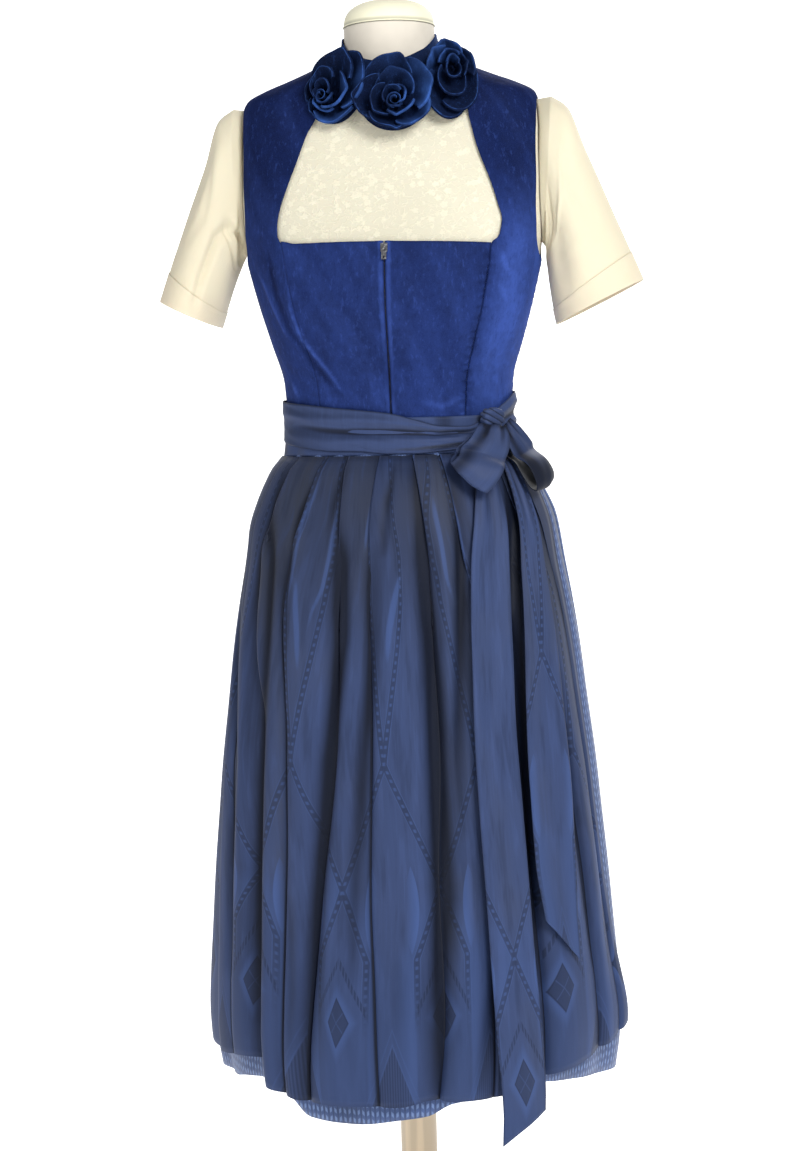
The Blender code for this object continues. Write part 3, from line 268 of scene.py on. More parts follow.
def creases(table, degrees, height, spread):
    """Ridges (depth above 0) and furrows (below 0) from rows of (path, width, depth).

    Formula: depth x exp(-(distance to the path / width) squared), which fades to nothing at both
    ends of the path of (degrees, height) pairs; a degree counts as `spread` metres."""
    total = np.zeros(np.broadcast(degrees, height).shape)
    spots = stack(np.asarray(degrees) * spread, height)[..., None, :]
    for path, width, depth in table:
        path = np.array(path) * (spread, 1.0)
        start, run = path[:-1], np.diff(path, axis=0)
        share = np.clip(((spots - start) * run).sum(-1) / (run * run).sum(-1), 0.0, 1.0)
        gap = np.linalg.norm(spots - (start + share[..., None] * run), axis=-1)
        nearest = gap.argmin(axis=-1)[..., None]
        along = (nearest + np.take_along_axis(share, nearest, -1))[..., 0] / len(run)
        fade = np.sin(math.pi * np.clip(along, 0.0, 1.0)) ** 0.6
        total += depth * np.exp(-(gap.min(axis=-1) / width) ** 2) * fade
    return total


# ---- meshes ----

Patch = namedtuple("Patch", "points uv closed")


def patch(points, uv=None, closed=False):
    """A grid of points with flat cloth coordinates; a closed one joins its last column to its first."""
    if uv is None:
        uv = np.zeros((points.shape[0], points.shape[1] + closed, 2))
    return Patch(points, uv, closed)


def build(name, patches, finish, values=None, node=None, thick=0.0, flip=False, weld=True):
    """Put patches into one mesh, weld points that coincide, and give it its finish and thickness.

    `values` are named numbers at the points, one grid for each patch."""
    corners, quads, flat, numbers, base = [], [], [], {key: [] for key in values or {}}, 0
    for index, part in enumerate(patches):
        rows, columns = part.points.shape[:2]
        spans = columns if part.closed else columns - 1
        row, column = np.meshgrid(np.arange(rows - 1), np.arange(spans), indexing="ij")
        places = []
        for wide, right in ((columns, (column + 1) % columns), (part.uv.shape[1], column + 1)):
            low, high = row * wide, (row + 1) * wide
            places.append(stack(low + column, low + right, high + right, high + column).reshape(-1, 4))
        corners.append(part.points.reshape(-1, 3))
        quads.append(places[0] + base)
        flat.append(part.uv.reshape(-1, 2)[places[1]])
        for key in numbers:
            numbers[key].append(np.broadcast_to(values[key][index], (rows, columns)).reshape(-1))
        base += rows * columns
    corners, quads, flat = (np.concatenate(part) for part in (corners, quads, flat))
    if flip:
        quads, flat = quads[:, ::-1], flat[:, ::-1]
    mesh = bpy.data.meshes.new(name)
    if weld:
        keys = np.round(corners / 2e-6).astype(np.int64)
        _, first, where = np.unique(keys, axis=0, return_index=True, return_inverse=True)
        quads, corners = where.reshape(-1)[quads], corners[first]
        numbers = {key: [np.concatenate(part)[first]] for key, part in numbers.items()}
    same = quads == np.roll(quads, -1, axis=1)
    whole = ~same.any(axis=1)
    three = same.sum(axis=1) == 1
    kept = np.argsort(same[three], axis=1, kind="stable")[:, :3]
    kept.sort(axis=1)
    thirds = np.take_along_axis(quads[three], kept, axis=1)
    faces = quads[whole].tolist() + thirds.tolist()
    mesh.from_pydata(corners.tolist(), [], faces)
    spots = np.concatenate([flat[whole].reshape(-1, 2),
                            np.take_along_axis(flat[three], kept[..., None], axis=1).reshape(-1, 2)])
    mesh.uv_layers.new(name="cloth").data.foreach_set("uv", spots.reshape(-1))
    for key, part in numbers.items():
        layer = mesh.attributes.new(key, "FLOAT", "POINT")
        layer.data.foreach_set("value", np.concatenate(part).astype(np.float32))
    mesh.shade_smooth()
    mesh.update()
    piece = bpy.data.objects.new(name, mesh)
    bpy.context.scene.collection.objects.link(piece)
    mesh.materials.append(finish)
    if thick:
        shell = piece.modifiers.new("thickness", "SOLIDIFY")
        shell.thickness, shell.offset = thick, -1.0
    if node:
        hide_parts(node)
    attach(piece, "root")
    return piece


def lathe(profile, columns):
    """Points turned round the Z axis from (radius, height) pairs, which run upwards."""
    angle = np.arange(columns) * math.tau / columns
    radius, height = np.array(profile).T[..., None]
    return stack(radius * np.sin(angle), -radius * np.cos(angle), height)


def rows_between(left, right, columns):
    """Grid of degrees and heights between two edges of (height, degrees) rows."""
    share = shares(columns)
    heights = left[:, :1] * (1 - share) + right[:, :1] * share
    return left[:, 1:] * (1 - share) + right[:, 1:] * share, heights


def spaced(foot, top, rows):
    """Heights from foot to top that crowd a little towards the top."""
    share = shares(rows)
    return foot + (top - foot) * (share + 0.35 * share * (1 - share))


def side_edge(opening, reach, foot, rows):
    """The edge up the body's side and round an armhole, half a squared ellipse, as (height, degrees)."""
    heights = spaced(foot, opening.top, rows)
    middle, half = (opening.top + opening.foot) / 2, (opening.top - opening.foot) / 2
    share = np.clip(np.abs((heights - middle) / half), 0.0, 1.0)
    width = reach * (1 - share ** opening.squareness) ** (1 / opening.squareness)
    return stack(heights, 90.0 - np.maximum(width, GAP))


def closing_uv(degrees, share, around, tall):
    """Flat coordinates of a band that runs all round, with one column more than it has points."""
    uv = stack(degrees * around, share * tall)
    return np.concatenate([uv, uv[:, :1] + (360 * around, 0.0)], axis=1)


# ---- finishes ----


class Number:
    """A number that a finish works out at each spot; arithmetic on it adds the nodes it needs."""

    def __init__(self, finish, socket):
        self.finish, self.socket = finish, socket

    def calc(self, operation, *others):
        """One step of arithmetic."""
        return self.finish.calc(operation, self, *others)

    def __add__(self, other):
        return self.calc("ADD", other)

    def __sub__(self, other):
        return self.calc("SUBTRACT", other)

    def __rsub__(self, other):
        return self.finish.calc("SUBTRACT", other, self)

    def __mul__(self, other):
        return self.calc("MULTIPLY", other)

    def __truediv__(self, other):
        return self.calc("DIVIDE", other)

    def __abs__(self):
        return self.calc("ABSOLUTE")

    def rise(self, low, high):
        """0 at low, 1 at high, and a soft step between; low may be above high."""
        inputs = (("Value", self), ("From Min", low), ("From Max", high))
        return self.finish.number("MapRange", inputs, interpolation_type="SMOOTHSTEP")

    def line(self, half, soft):
        """1 within `half` of 0 and 0 past it, with a soft edge."""
        return abs(self).rise(half + soft, half - soft)


class Finish:
    """A procedural material in the making: a base colour that other colours are laid over."""

    def __init__(self, name, roughness, **constants):
        self.material = bpy.data.materials.new(name)
        self.material.use_nodes = True
        self.tree = self.material.node_tree
        self.shader = self.tree.nodes["Principled BSDF"]
        self.base = None
        for socket, value in dict(constants, Roughness=roughness).items():
            self.feed(self.shader.inputs[socket.replace("_", " ")], value)

    def feed(self, socket, value):
        """Link an output, or set a constant; a colour gets its alpha."""
        value = getattr(value, "socket", value)
        if isinstance(value, bpy.types.NodeSocket):
            self.tree.links.new(value, socket)
        elif socket.type == "RGBA":
            socket.default_value = tuple(value)[:3] + (1.0,)
        else:
            socket.default_value = value

    def node(self, kind, inputs=(), **settings):
        """Add a node with settings and (socket, value) inputs."""
        node = self.tree.nodes.new("ShaderNode" + kind)
        for key, value in settings.items():
            setattr(node, key, value)
        for socket, value in inputs:
            self.feed(node.inputs[socket], value)
        return node

    def number(self, kind, inputs=(), output=0, **settings):
        """Add a node and give back one of its outputs as a number."""
        return Number(self, self.node(kind, inputs, **settings).outputs[output])

    def calc(self, operation, *values):
        """One step of arithmetic."""
        return self.number("Math", enumerate(values), operation=operation)

    def mix(self, share, first, second, blend="MIX"):
        """Mix two colours."""
        inputs = ((0, share), (6, first), (7, second))
        return self.node("Mix", inputs, data_type="RGBA", blend_type=blend).outputs[2]

    def lay(self, share, colour):
        """Lay a colour over the base, by a share from 0 to 1."""
        self.base = self.mix(share, self.base, colour)

    def place(self, stretch=(1.0, 1.0, 1.0), cloth=False):
        """Object coordinates, or the piece's flat cloth coordinates, scaled along each axis."""
        source = self.node("UVMap", uv_map="cloth") if cloth else self.node("TexCoord")
        output = source.outputs["UV" if cloth else "Object"]
        return self.node("Mapping", (("Vector", output), ("Scale", stretch))).outputs[0]

    def parts(self, vector):
        """The first two numbers of a vector."""
        outputs = self.node("SeparateXYZ", [(0, vector)]).outputs
        return Number(self, outputs[0]), Number(self, outputs[1])

    def noise(self, place, scale, detail, rough):
        """Cloudy numbers from 0 to 1."""
        inputs = (("Vector", place), ("Scale", scale), ("Detail", detail), ("Roughness", rough))
        return self.number("TexNoise", inputs)

    def threads(self, place, scale, across="X", rough=0.0):
        """Fine parallel lines."""
        inputs = (("Vector", place), ("Scale", scale), ("Distortion", rough), ("Detail", 1.0))
        return self.number("TexWave", inputs, "Fac", wave_type="BANDS", bands_direction=across)

    def weave(self, place, scale):
        """Crossed threads of a plain weave: warp lines times weft lines."""
        return self.threads(place, scale) * self.threads(place, scale, "Y")

    def value(self, name):
        """A number stored at the piece's points."""
        return self.number("Attribute", output="Fac", attribute_name=name)

    def gloss(self, value, low, high):
        """Let the roughness run from low to high with a number from 0 to 1."""
        inputs = (("Value", value), ("To Min", low), ("To Max", high))
        self.feed(self.shader.inputs["Roughness"], self.number("MapRange", inputs))

    def made(self, *layers):
        """The material, with bump from (height, strength, metres) layers, one on top of the other."""
        self.feed(self.shader.inputs["Base Color"], self.base)
        below = self.shader.inputs["Normal"]
        for height, strength, depth in reversed(layers):
            inputs = (("Height", height), ("Strength", strength), ("Distance", depth))
            bump = self.node("Bump", inputs)
            self.feed(below, bump.outputs[0])
            below = bump.inputs["Normal"]
        return self.material


def shade(colour, factor):
    """A colour made lighter or darker."""
    return tuple(min(part * factor, 1.0) for part in tuple(colour)[:3])


def velvet(name, colour, light, shadow, rim=False):
    """Velvet: a deep colour with brushed nap, lighter by painted sheen where the pile lies over and the light
    falls, and a soft sheen.

    An attribute gives the share of painted sheen, the light colour over the deep one; `rim` is 0.9 along a
    petal's thin edge, which gets a painted highlight."""
    finish = Finish(name, 0.8, Sheen_Weight=0.1, Sheen_Roughness=0.35, Sheen_Tint=light,
                    Specular_IOR_Level=0.05)
    place = finish.place()
    brushed = finish.noise(finish.place((1.0, 1.0, 0.45)), 16.0, 3.0, 0.6)
    crushed = finish.noise(finish.place((1.0, 1.0, 0.35)), 230.0, 3.0, 0.75)
    marks = finish.noise(place, 75.0, 3.0, 0.7)
    pile = finish.noise(place, 1400.0, 2.0, 0.7)
    nap = (brushed * 0.6 + marks * 0.4).rise(0.36, 0.64)
    # painted sheen: the light colour laid over the deep one by its share
    painted_sheen = finish.mix(finish.value("painted_sheen"), colour, light)
    finish.base = finish.mix(nap, finish.mix(1.0, painted_sheen, (shadow, shadow, shadow), "MULTIPLY"), painted_sheen)
    finish.lay(crushed.rise(0.54, 0.72) * 0.16, light)
    finish.lay(crushed.rise(0.46, 0.3) * 0.3, shade(colour, 0.5))
    finish.lay(pile.rise(0.35, 0.75) * 0.1, light)
    if rim:
        # painted highlight along the petals' thin edges
        patchy = marks.rise(0.4, 0.6) * 0.4 + 0.08
        finish.lay((finish.value("rim") - 0.9).line(0.004, 0.012) * patchy, shade(light, 1.6))
    finish.gloss(nap, 0.72, 0.88)
    return finish.made((marks, 0.25, 0.0015), (pile, 0.35, 0.0004))


def cotton(name, colour, shadow, lace=False):
    """Thin cotton: a plain weave with slubs and soft creases; lace adds flowers on a net ground."""
    finish = Finish(name, 0.82, Sheen_Weight=0.15, Specular_IOR_Level=0.25, Subsurface_Weight=0.06,
                    Subsurface_Scale=0.01)
    cloth = finish.place(cloth=True)
    slub = finish.noise(finish.place((1.0, 6.0, 1.0), cloth=True), 220.0, 2.0, 0.6)
    cloud = finish.noise(finish.place(), 9.0, 3.0, 0.5)
    finish.base = finish.mix(cloud.rise(0.3, 0.72), shadow, colour)
    finish.lay(slub.rise(0.55, 0.8) * 0.12, shade(shadow, 0.86))
    if not lace:
        return finish.made((slub, 0.2, 0.0004), (finish.weave(cloth, 900.0), 0.3, 0.0003))
    flower, net = flowers(finish, cloth), finish.weave(cloth, 420.0)
    finish.lay((1.0 - flower) * 0.55, shade(shadow, 0.8))
    finish.lay(net.rise(0.5, 0.2) * 0.18, shade(shadow, 0.72))
    return finish.made((flower, 0.45, 0.0008), (net, 0.3, 0.0004))


def flowers(finish, cloth):
    """Lace flowers: petals round the cells of a random net, joined by winding stems."""
    inputs = (("Vector", cloth), ("Scale", 92.0), ("Randomness", 0.85))
    cells = finish.node("TexVoronoi", inputs, feature="F1")
    away = Number(finish, cells.outputs["Distance"])
    spot = finish.node("VectorMath", ((0, cloth), (1, cells.outputs["Position"])), operation="SUBTRACT")
    x, y = finish.parts(spot.outputs[0])
    petals = abs((y.calc("ARCTAN2", x) * 2.5).calc("SINE"))
    bloom = (away - (petals * 0.13 + 0.24)).rise(0.05, -0.03) - (away - 0.12).line(0.02, 0.02) * 0.6
    stem = (finish.noise(cloth, 105.0, 1.0, 0.4) - 0.5).line(0.018, 0.016)
    leaf = finish.noise(cloth, 260.0, 1.0, 0.5).rise(0.6, 0.7) * 0.7
    return bloom.calc("MAXIMUM", stem.calc("MAXIMUM", leaf))


def striped(name, colour, light, dark):
    """Skirt cloth: fine upright ribs, each one broken into small slanting marks.

    Painted shade darkens it in its troughs and between its gathers, as an attribute says."""
    finish = Finish(name, 0.66, Sheen_Weight=0.2, Specular_IOR_Level=0.3)
    cloth = finish.place(cloth=True)
    u, v = finish.parts(cloth)
    rib = finish.threads(cloth, 52.0)
    slant = v * 620.0 + (u * 165.0).calc("PINGPONG", 1.0) * 3.0
    marks = slant.calc("SINE") * 0.5 + 0.5
    cloud = finish.noise(finish.place(), 12.0, 3.0, 0.5)
    finish.base = finish.mix(cloud.rise(0.3, 0.7), shade(colour, 0.8), colour)
    thread = rib.rise(0.35, 0.8) * marks.rise(0.2, 0.8)
    finish.lay(thread * 0.55, light)
    finish.lay(rib.rise(0.3, 0.05) * 0.5, dark)
    # painted shade in the troughs and between the gathers
    finish.lay(finish.value("painted_shade") * 0.75, shade(colour, 0.3))
    return finish.made((rib, 0.35, 0.0006), (thread, 0.3, 0.0004))


BRAID_PERIOD = 0.122            # width of one repeat of the woven pattern across the cloth
BRAID_START = -0.01             # where a column of the repeat lies


def braid(distance, along):
    """A woven chain: two fine edges with a row of links between them; gives its light and its dark."""
    edge = (abs(distance) - 0.0042).line(0.0003, 0.0006)
    beat = (along * (math.tau / 0.0095)).calc("SINE")
    link = distance.line(0.0016, 0.0014) * beat.rise(-0.2, 0.9)
    return edge.calc("MAXIMUM", link), distance.line(0.0038, 0.001)


def almond(x, y, half_width, half_height):
    """A leaf whose width shrinks with the square of its height, bright at its left and fading right."""
    room = (1.0 - (y / half_height).calc("POWER", 2.0)) * half_width
    return (room - abs(x)).rise(0.0, 0.0012) * x.rise(half_width * 0.9, -half_width * 0.8)


def taffeta(name, colours, pattern=None, folded=False):
    """Shot taffeta: blue warp and brown weft; `pattern` is how high the woven figures' repeat lies.

    Folded cloth gets painted shade in its hollows and painted blue highlights beside its pleats, as its
    attributes say."""
    colour, brown, light, dark = colours
    finish = Finish(name, 0.44, Sheen_Weight=0.02, Specular_IOR_Level=0.13, Anisotropic=0.35)
    cloth = finish.place(cloth=True)
    rep = finish.threads(cloth, 420.0, "Y", 0.4)
    warp = finish.noise(finish.place((1.0, 0.02, 1.0), cloth=True), 380.0, 2.0, 0.7)
    cloud = finish.noise(finish.place(), 7.0, 2.0, 0.5)
    # painted shade where this value is low and painted brown sheen where it is high; the cloud adds random
    # tone
    shot = finish.value("shot") * 0.75 + cloud * 0.5
    finish.base = finish.mix(shot.rise(0.05, 0.62), shade(colour, 0.45 if folded else 0.3), colour)
    finish.lay(shot.rise(0.66, 1.1), brown)
    finish.lay(warp.rise(0.45, 0.75) * 0.16, shade(colour, 1.6))
    if folded:
        blotch = finish.noise(finish.place((1.0, 0.12, 1.0), cloth=True), 70.0, 3.0, 0.6)
        strength = 0.34 if pattern is not None else 0.1
        finish.lay(blotch.rise(0.5, 0.66) * strength, shade(dark, 1.6))
        finish.lay(blotch.rise(0.46, 0.34) * strength, shade(colour, 1.5))
    layers = [(rep, 0.12, 0.0002), (warp, 0.12, 0.0003)]
    if pattern is not None:
        layers.insert(0, (figures(finish, cloth, (colour, light, dark), pattern), 0.35, 0.0006))
    if folded:
        # painted blue highlights beside the pleats, then painted shade in the hollows
        finish.lay(finish.value("gleam").rise(0.34, 0.7) * 0.46, light)
        finish.lay(finish.value("painted_shade") * 0.94, shade(dark, 0.45))
    finish.gloss(warp, 0.46, 0.62)
    return finish.made(*layers)


def figures(finish, cloth, colours, pattern):
    """Lay the woven figures over the ground colour, and give their relief.

    Braids swing between the columns of the repeat and cross twice; under the lower crossing lies a
    lozenge with a roof of braid, beside it pairs of leaves, and at the hem a pinstriped gusset."""
    colour, light, dark = colours
    u, v = finish.parts(cloth)
    v = v - pattern
    s = abs((((u - BRAID_START) / BRAID_PERIOD + 0.5).calc("FRACT") - 0.5) * BRAID_PERIOD)
    t = BRAID_PERIOD / 2 - s

    def ramp(start, end, periods):
        """Nothing up to the start, then straight to a number of periods at the end."""
        share = (v - start) / (end - start)
        return share.calc("MAXIMUM", 0.0).calc("MINIMUM", 1.0) * (periods * BRAID_PERIOD)

    path = ramp(0.648, 0.83, 0.215) + ramp(0.88, 1.0, -0.1) + ramp(0.648, 0.508, 0.5)
    beside = s - (path + ramp(0.508, 0.43, -0.26))
    bright, ground = (part * v.rise(0.33, 0.44) for part in braid(beside, v))
    roof = (t * 1.9 + v - 0.432).line(0.005, 0.0015) * t.rise(0.036, 0.03)
    rope = (t * (math.tau / 0.0035)).calc("SINE")
    lozenge = t / 0.0135 + abs(v - 0.362) / 0.028
    outline = (lozenge - 1.0).line(0.05, 0.05)
    halo = lozenge.rise(1.9, 1.05) * lozenge.rise(0.95, 1.05)
    inner = lozenge.rise(1.0, 0.94)
    cross = (abs(v - 0.362) - t * 1.6).line(0.001, 0.001)
    leaf = almond(t - 0.037, v - 0.485, 0.01, 0.05)
    gusset = (0.336 - v) * 0.34 - s
    trim = gusset.line(0.0008, 0.0008).calc("MAXIMUM", (gusset + 0.006).line(0.0005, 0.0008))
    flame = beside.rise(-0.03, -0.004) * (v.rise(0.58, 0.5) * beside.rise(0.0, -0.004))
    pins = finish.mix(finish.threads(cloth, 110.0), dark, shade(colour, 0.8))
    twist = finish.mix(rope.rise(0.2, 0.8), dark, colour)
    for share, strength, over in (
            (v.rise(0.5, 0.3), 0.62, shade(light, 0.5)), (flame, 0.35, shade(light, 0.85)),
            (leaf, 0.6, light), (gusset.rise(-0.0004, 0.0012), 0.6, pins), (trim, 0.22, light),
            (ground, 0.42, dark),
            (bright, 0.46, light), (roof, 0.5, twist), (halo, 0.38, light), (inner, 0.55, shade(dark, 1.5)),
            (cross * inner, 0.25, light), (outline, 0.7, dark)):
        finish.lay(share * strength, over)
    return bright + leaf * 0.5 + outline * -0.5


def knit(name, colour, shadow, seam=False):
    """The form's stretched cover: a fine knit with a faint mottle, and painted shadow where `seam` is 1."""
    finish = Finish(name, 0.85, Sheen_Weight=0.2, Specular_IOR_Level=0.2)
    place = finish.place()
    loops = finish.threads(place, 260.0, "Z", 0.5) * finish.threads(place, 260.0, "X", 0.5)
    cloud = finish.noise(place, 14.0, 3.0, 0.55)
    finish.base = finish.mix(cloud.rise(0.35, 0.7), shadow, colour)
    if seam:
        # painted shadow beside the seam's piping
        finish.lay(finish.value("seam"), shade(shadow, 0.32))
    return finish.made((loops, 0.25, 0.0004), (cloud, 0.1, 0.001))


def wood(name, colour, dark):
    """Pale varnished wood with upright grain."""
    finish = Finish(name, 0.42, Coat_Weight=0.15, Coat_Roughness=0.25, Specular_IOR_Level=0.4)
    grain = finish.noise(finish.place((1.0, 1.0, 0.05)), 130.0, 4.0, 0.6)
    rings = finish.threads(finish.place((1.0, 1.0, 0.04)), 16.0, "X", 6.0)
    finish.base = finish.mix((grain * 0.7 + rings * 0.3).rise(0.35, 0.75), dark, colour)
    finish.gloss(grain, 0.36, 0.52)
    return finish.made((grain, 0.15, 0.0003))


def metal(name, colour, worn):
    """Dark lacquered metal, worn brighter here and there."""
    finish = Finish(name, 0.3, Metallic=0.9)
    wear = finish.noise(finish.place(), 420.0, 3.0, 0.6)
    finish.base = finish.mix(wear.rise(0.5, 0.72), colour, worn)
    finish.gloss(wear, 0.25, 0.45)
    return finish.made((wear, 0.1, 0.0001))


def floor_finish(name, colour):
    """The studio's seamless floor."""
    finish = Finish(name, 0.9, Specular_IOR_Level=0.1, Emission_Color=(1.0, 1.0, 1.0), Emission_Strength=0.85)
    finish.base = finish.mix(finish.noise(finish.place(), 1.5, 2.0, 0.5), shade(colour, 0.985), colour)
    return finish.made()


# ---- settings ----


def colour(name, description, *default):
    """A colour setting."""
    return FloatVectorProperty(name=name, description=description, default=default, min=0.0, max=1.0,
                               subtype="COLOR")


def length(name, description, default):
    """A size in metres."""
    return FloatProperty(name=name, description=description, default=default, min=0.0, max=1.0, precision=4,
                         unit="LENGTH")


class FormSettings(bpy.types.PropertyGroup):
    """The form and its stand."""

    cover: colour("Cover", "Knit cover of the form", 0.66, 0.61, 0.525)
    cap: colour("Cap", "Cloth of the neck cap", 0.8, 0.77, 0.58)
    timber: colour("Wood", "Wood of the pole and foot", 0.74, 0.6, 0.42)
    piping: length("Piping", "Thickness of the cap's seam", 0.0012)


class BlouseSettings(bpy.types.PropertyGroup):
    """The blouse."""

    cotton: colour("Cotton", "Cloth of the back and sleeves", 0.64, 0.572, 0.428)
    shadow: colour("Shadow", "Cotton in its soft creases", 0.66, 0.59, 0.44)
    lace: colour("Lace", "Raised threads of the lace front", 0.735, 0.675, 0.53)
    fold: length("Fold", "Depth of the sleeves' creases", 0.004)


class BodiceSettings(bpy.types.PropertyGroup):
    """The velvet bodice."""

    velvet: colour("Velvet", "Velvet of the bodice", 0.0035, 0.0085, 0.046)
    sheen: colour("Sheen", "Light on the velvet's pile", 0.052, 0.105, 0.42)
    pull: length("Pull", "Depth of the folds where the bodice strains", 0.0016)


class SkirtSettings(bpy.types.PropertyGroup):
    """The skirt."""

    ground: colour("Ground", "Skirt cloth between its ribs", 0.04, 0.075, 0.2)
    rib: colour("Rib", "Light ribs of the skirt cloth", 0.17, 0.26, 0.48)
    fold: length("Fold", "Depth of the folds at the back", 0.015)


class ApronSettings(bpy.types.PropertyGroup):
    """The apron, its band and its tie."""

    warp: colour("Warp", "Blue threads of the shot cloth", 0.03, 0.048, 0.12)
    weft: colour("Weft", "Brown threads of the shot cloth", 0.044, 0.052, 0.08)
    figure: colour("Figure", "Light threads of the woven figures", 0.048, 0.088, 0.24)
    outline: colour("Outline", "Dark threads of the woven figures", 0.007, 0.011, 0.027)
    step: length("Pleat step", "Thickness of one pressed pleat over the next", 0.003)


class CollarSettings(bpy.types.PropertyGroup):
    """The rose collar."""

    velvet: colour("Velvet", "Velvet of the roses", 0.0018, 0.004, 0.017)
    edge: colour("Edge", "Light along the petals' edges", 0.04, 0.11, 0.38)
    petals: IntProperty(name="Petals", description="Outer petals of each rose", default=4, min=3, max=8)


class StageSettings(bpy.types.PropertyGroup):
    """Floor, lights and camera."""

    floor: colour("Floor", "Seamless floor", 0.93, 0.93, 0.93)
    key: FloatProperty(name="Key light", description="Power of the soft key light", default=80.0, min=0.0,
                       unit="POWER")
    sky: FloatProperty(name="Sky", description="Strength of the even light all round", default=0.29, min=0.0)


# ---- form and stand ----


def closed_ends(points):
    """Add a flat end at the first and the last ring, each drawn in to its middle."""
    ends = []
    for ring in (points[0], points[-1]):
        middle = ring.mean(axis=0)
        ends.append(np.stack([middle + (ring - middle) * share for share in (0.0, 0.5, 0.9)]))
    return np.concatenate([ends[0], points, ends[1][::-1]])


class MakeForm(bpy.types.Operator):
    """Build the padded form, its neck cap, and its pole and foot"""

    bl_idname = "dirndl.form"
    bl_label = "Form and stand"

    def execute(self, context):
        look = context.scene.dirndl_form
        heights = np.concatenate([np.linspace(FORM_FOOT, 1.4, 60), np.linspace(1.405, NECK_TOP, 44)])
        angles, levels = np.meshgrid(np.arange(0.0, 360.0, 3.75), heights)
        points = on_body(angles, levels, -read(FORM_UNDER, levels))
        points[0, :, 2], points[-1, :, 2] = FORM_FOOT, NECK_TOP
        cover = knit("form cover", look.cover, shade(look.cover, 0.86))
        padding = build("form_cover", [patch(closed_ends(points), closed=True)], cover, node="form_torso")
        rim, foot, bead = 0.054, NECK_TOP + 0.0003, look.piping
        swing = np.radians(np.linspace(-80.0, 80.0, 9))
        piping = stack(rim - 0.0004 + bead * np.cos(swing), foot + bead + bead * np.sin(swing))
        rise, brim = np.radians(np.linspace(0.0, 90.0, 22)), 1.504
        top = brim + (CAP_TOP - 0.0012 - brim) * np.sin(rise) ** 0.9
        dome = stack((rim - 0.0004) * np.cos(rise) ** 0.72, top)
        profile = [(0.0, foot), (rim * 0.6, foot), (rim - 0.002, foot), *piping, *dome]
        dark = np.zeros(len(profile))
        # painted shadow under the piping, and half as much where it meets the dome
        dark[2:6], dark[10:13] = 1.0, 0.5
        cap = knit("cap cloth", look.cap, shade(look.cap, 0.9), seam=True)
        build("neck_cap", [patch(lathe(profile, 72), closed=True)], cap, {"seam": [dark[:, None]]},
              node="form_neck_cap")
        reach, pole = 0.19, 0.0225
        turn = np.radians(np.linspace(-90.0, 90.0, 9))
        edge = stack(reach - 0.008 + 0.008 * np.cos(turn), 0.012 + 0.012 * np.sin(turn))
        neck = [(pole + 0.02, 0.0242), (pole + 0.009, 0.0256), (pole + 0.004, 0.0295), (pole + 0.001, 0.036),
                (pole, 0.048)]
        top = FORM_FOOT - 0.0003
        shaft = [(pole, height) for height in np.linspace(0.1, top - 0.001, 12)]
        profile = [(0.0, 0.0), (reach * 0.5, 0.0), *edge, *neck, *shaft, (pole - 0.001, top), (0.0, top)]
        timber = wood("pale wood", look.timber, shade(look.timber, 0.8))
        build("pole_and_foot", [patch(lathe(profile, 80), closed=True)], timber, node="stand")
        return {"FINISHED"}


# ---- blouse ----

# Rows of (share along the sleeve, outer x and height, inner x and height, half depth).
LEFT_SLEEVE = (
    (0.1, 0.19, 1.412, 0.1815, 1.237, 0.044), (0.22, 0.2075, 1.399, 0.185, 1.231, 0.05),
    (0.4, 0.2245, 1.348, 0.19, 1.221, 0.055), (0.6, 0.246, 1.293, 0.1975, 1.203, 0.059),
    (0.8, 0.266, 1.24, 0.206, 1.18, 0.062), (1.0, 0.286, 1.187, 0.2155, 1.153, 0.064),
)
RIGHT_SLEEVE = (
    (0.1, 0.191, 1.412, 0.1815, 1.237, 0.042), (0.22, 0.209, 1.399, 0.1815, 1.23, 0.045),
    (0.4, 0.229, 1.35, 0.182, 1.22, 0.047), (0.6, 0.252, 1.297, 0.184, 1.2, 0.048),
    (0.8, 0.274, 1.245, 0.1875, 1.173, 0.049), (1.0, 0.295, 1.194, 0.193, 1.145, 0.049),
)
CUFF_START = 0.875              # along the sleeve
# Creases of the sleeves, as ((degrees round from the sleeve's top, share along it) ..., width, depth).
LEFT_FOLDS = (
    (((-110, 0.06), (-136, 0.22), (-150, 0.36)), 0.02, 0.8),
    (((-120, 0.04), (-146, 0.14), (-165, 0.22)), 0.018, -0.8),
    (((-112, 0.3), (-140, 0.36), (-160, 0.46)), 0.022, -0.7),
    (((-60, 0.3), (-72, 0.5), (-58, 0.7)), 0.03, -0.5),
    (((-150, 0.02), (-126, 0.2), (-106, 0.48), (-104, 0.75), (-108, 1.02)), 0.026, -1.9),
    (((-75, 0.02), (-62, 0.4), (-70, 0.85)), 0.08, 0.55),
    (((-35, 0.05), (-44, 0.35), (-30, 0.8)), 0.06, -0.4),
    (((-150, 0.15), (-140, 0.6), (-150, 0.9)), 0.06, 0.5),
    (((40, 0.05), (60, 0.4), (50, 0.85)), 0.07, -0.8), (((100, 0.08), (115, 0.5), (110, 0.85)), 0.07, 0.7),
    (((150, 0.1), (140, 0.6)), 0.06, -0.6), (((-170, 0.08), (-165, 0.35)), 0.05, -0.6),
)
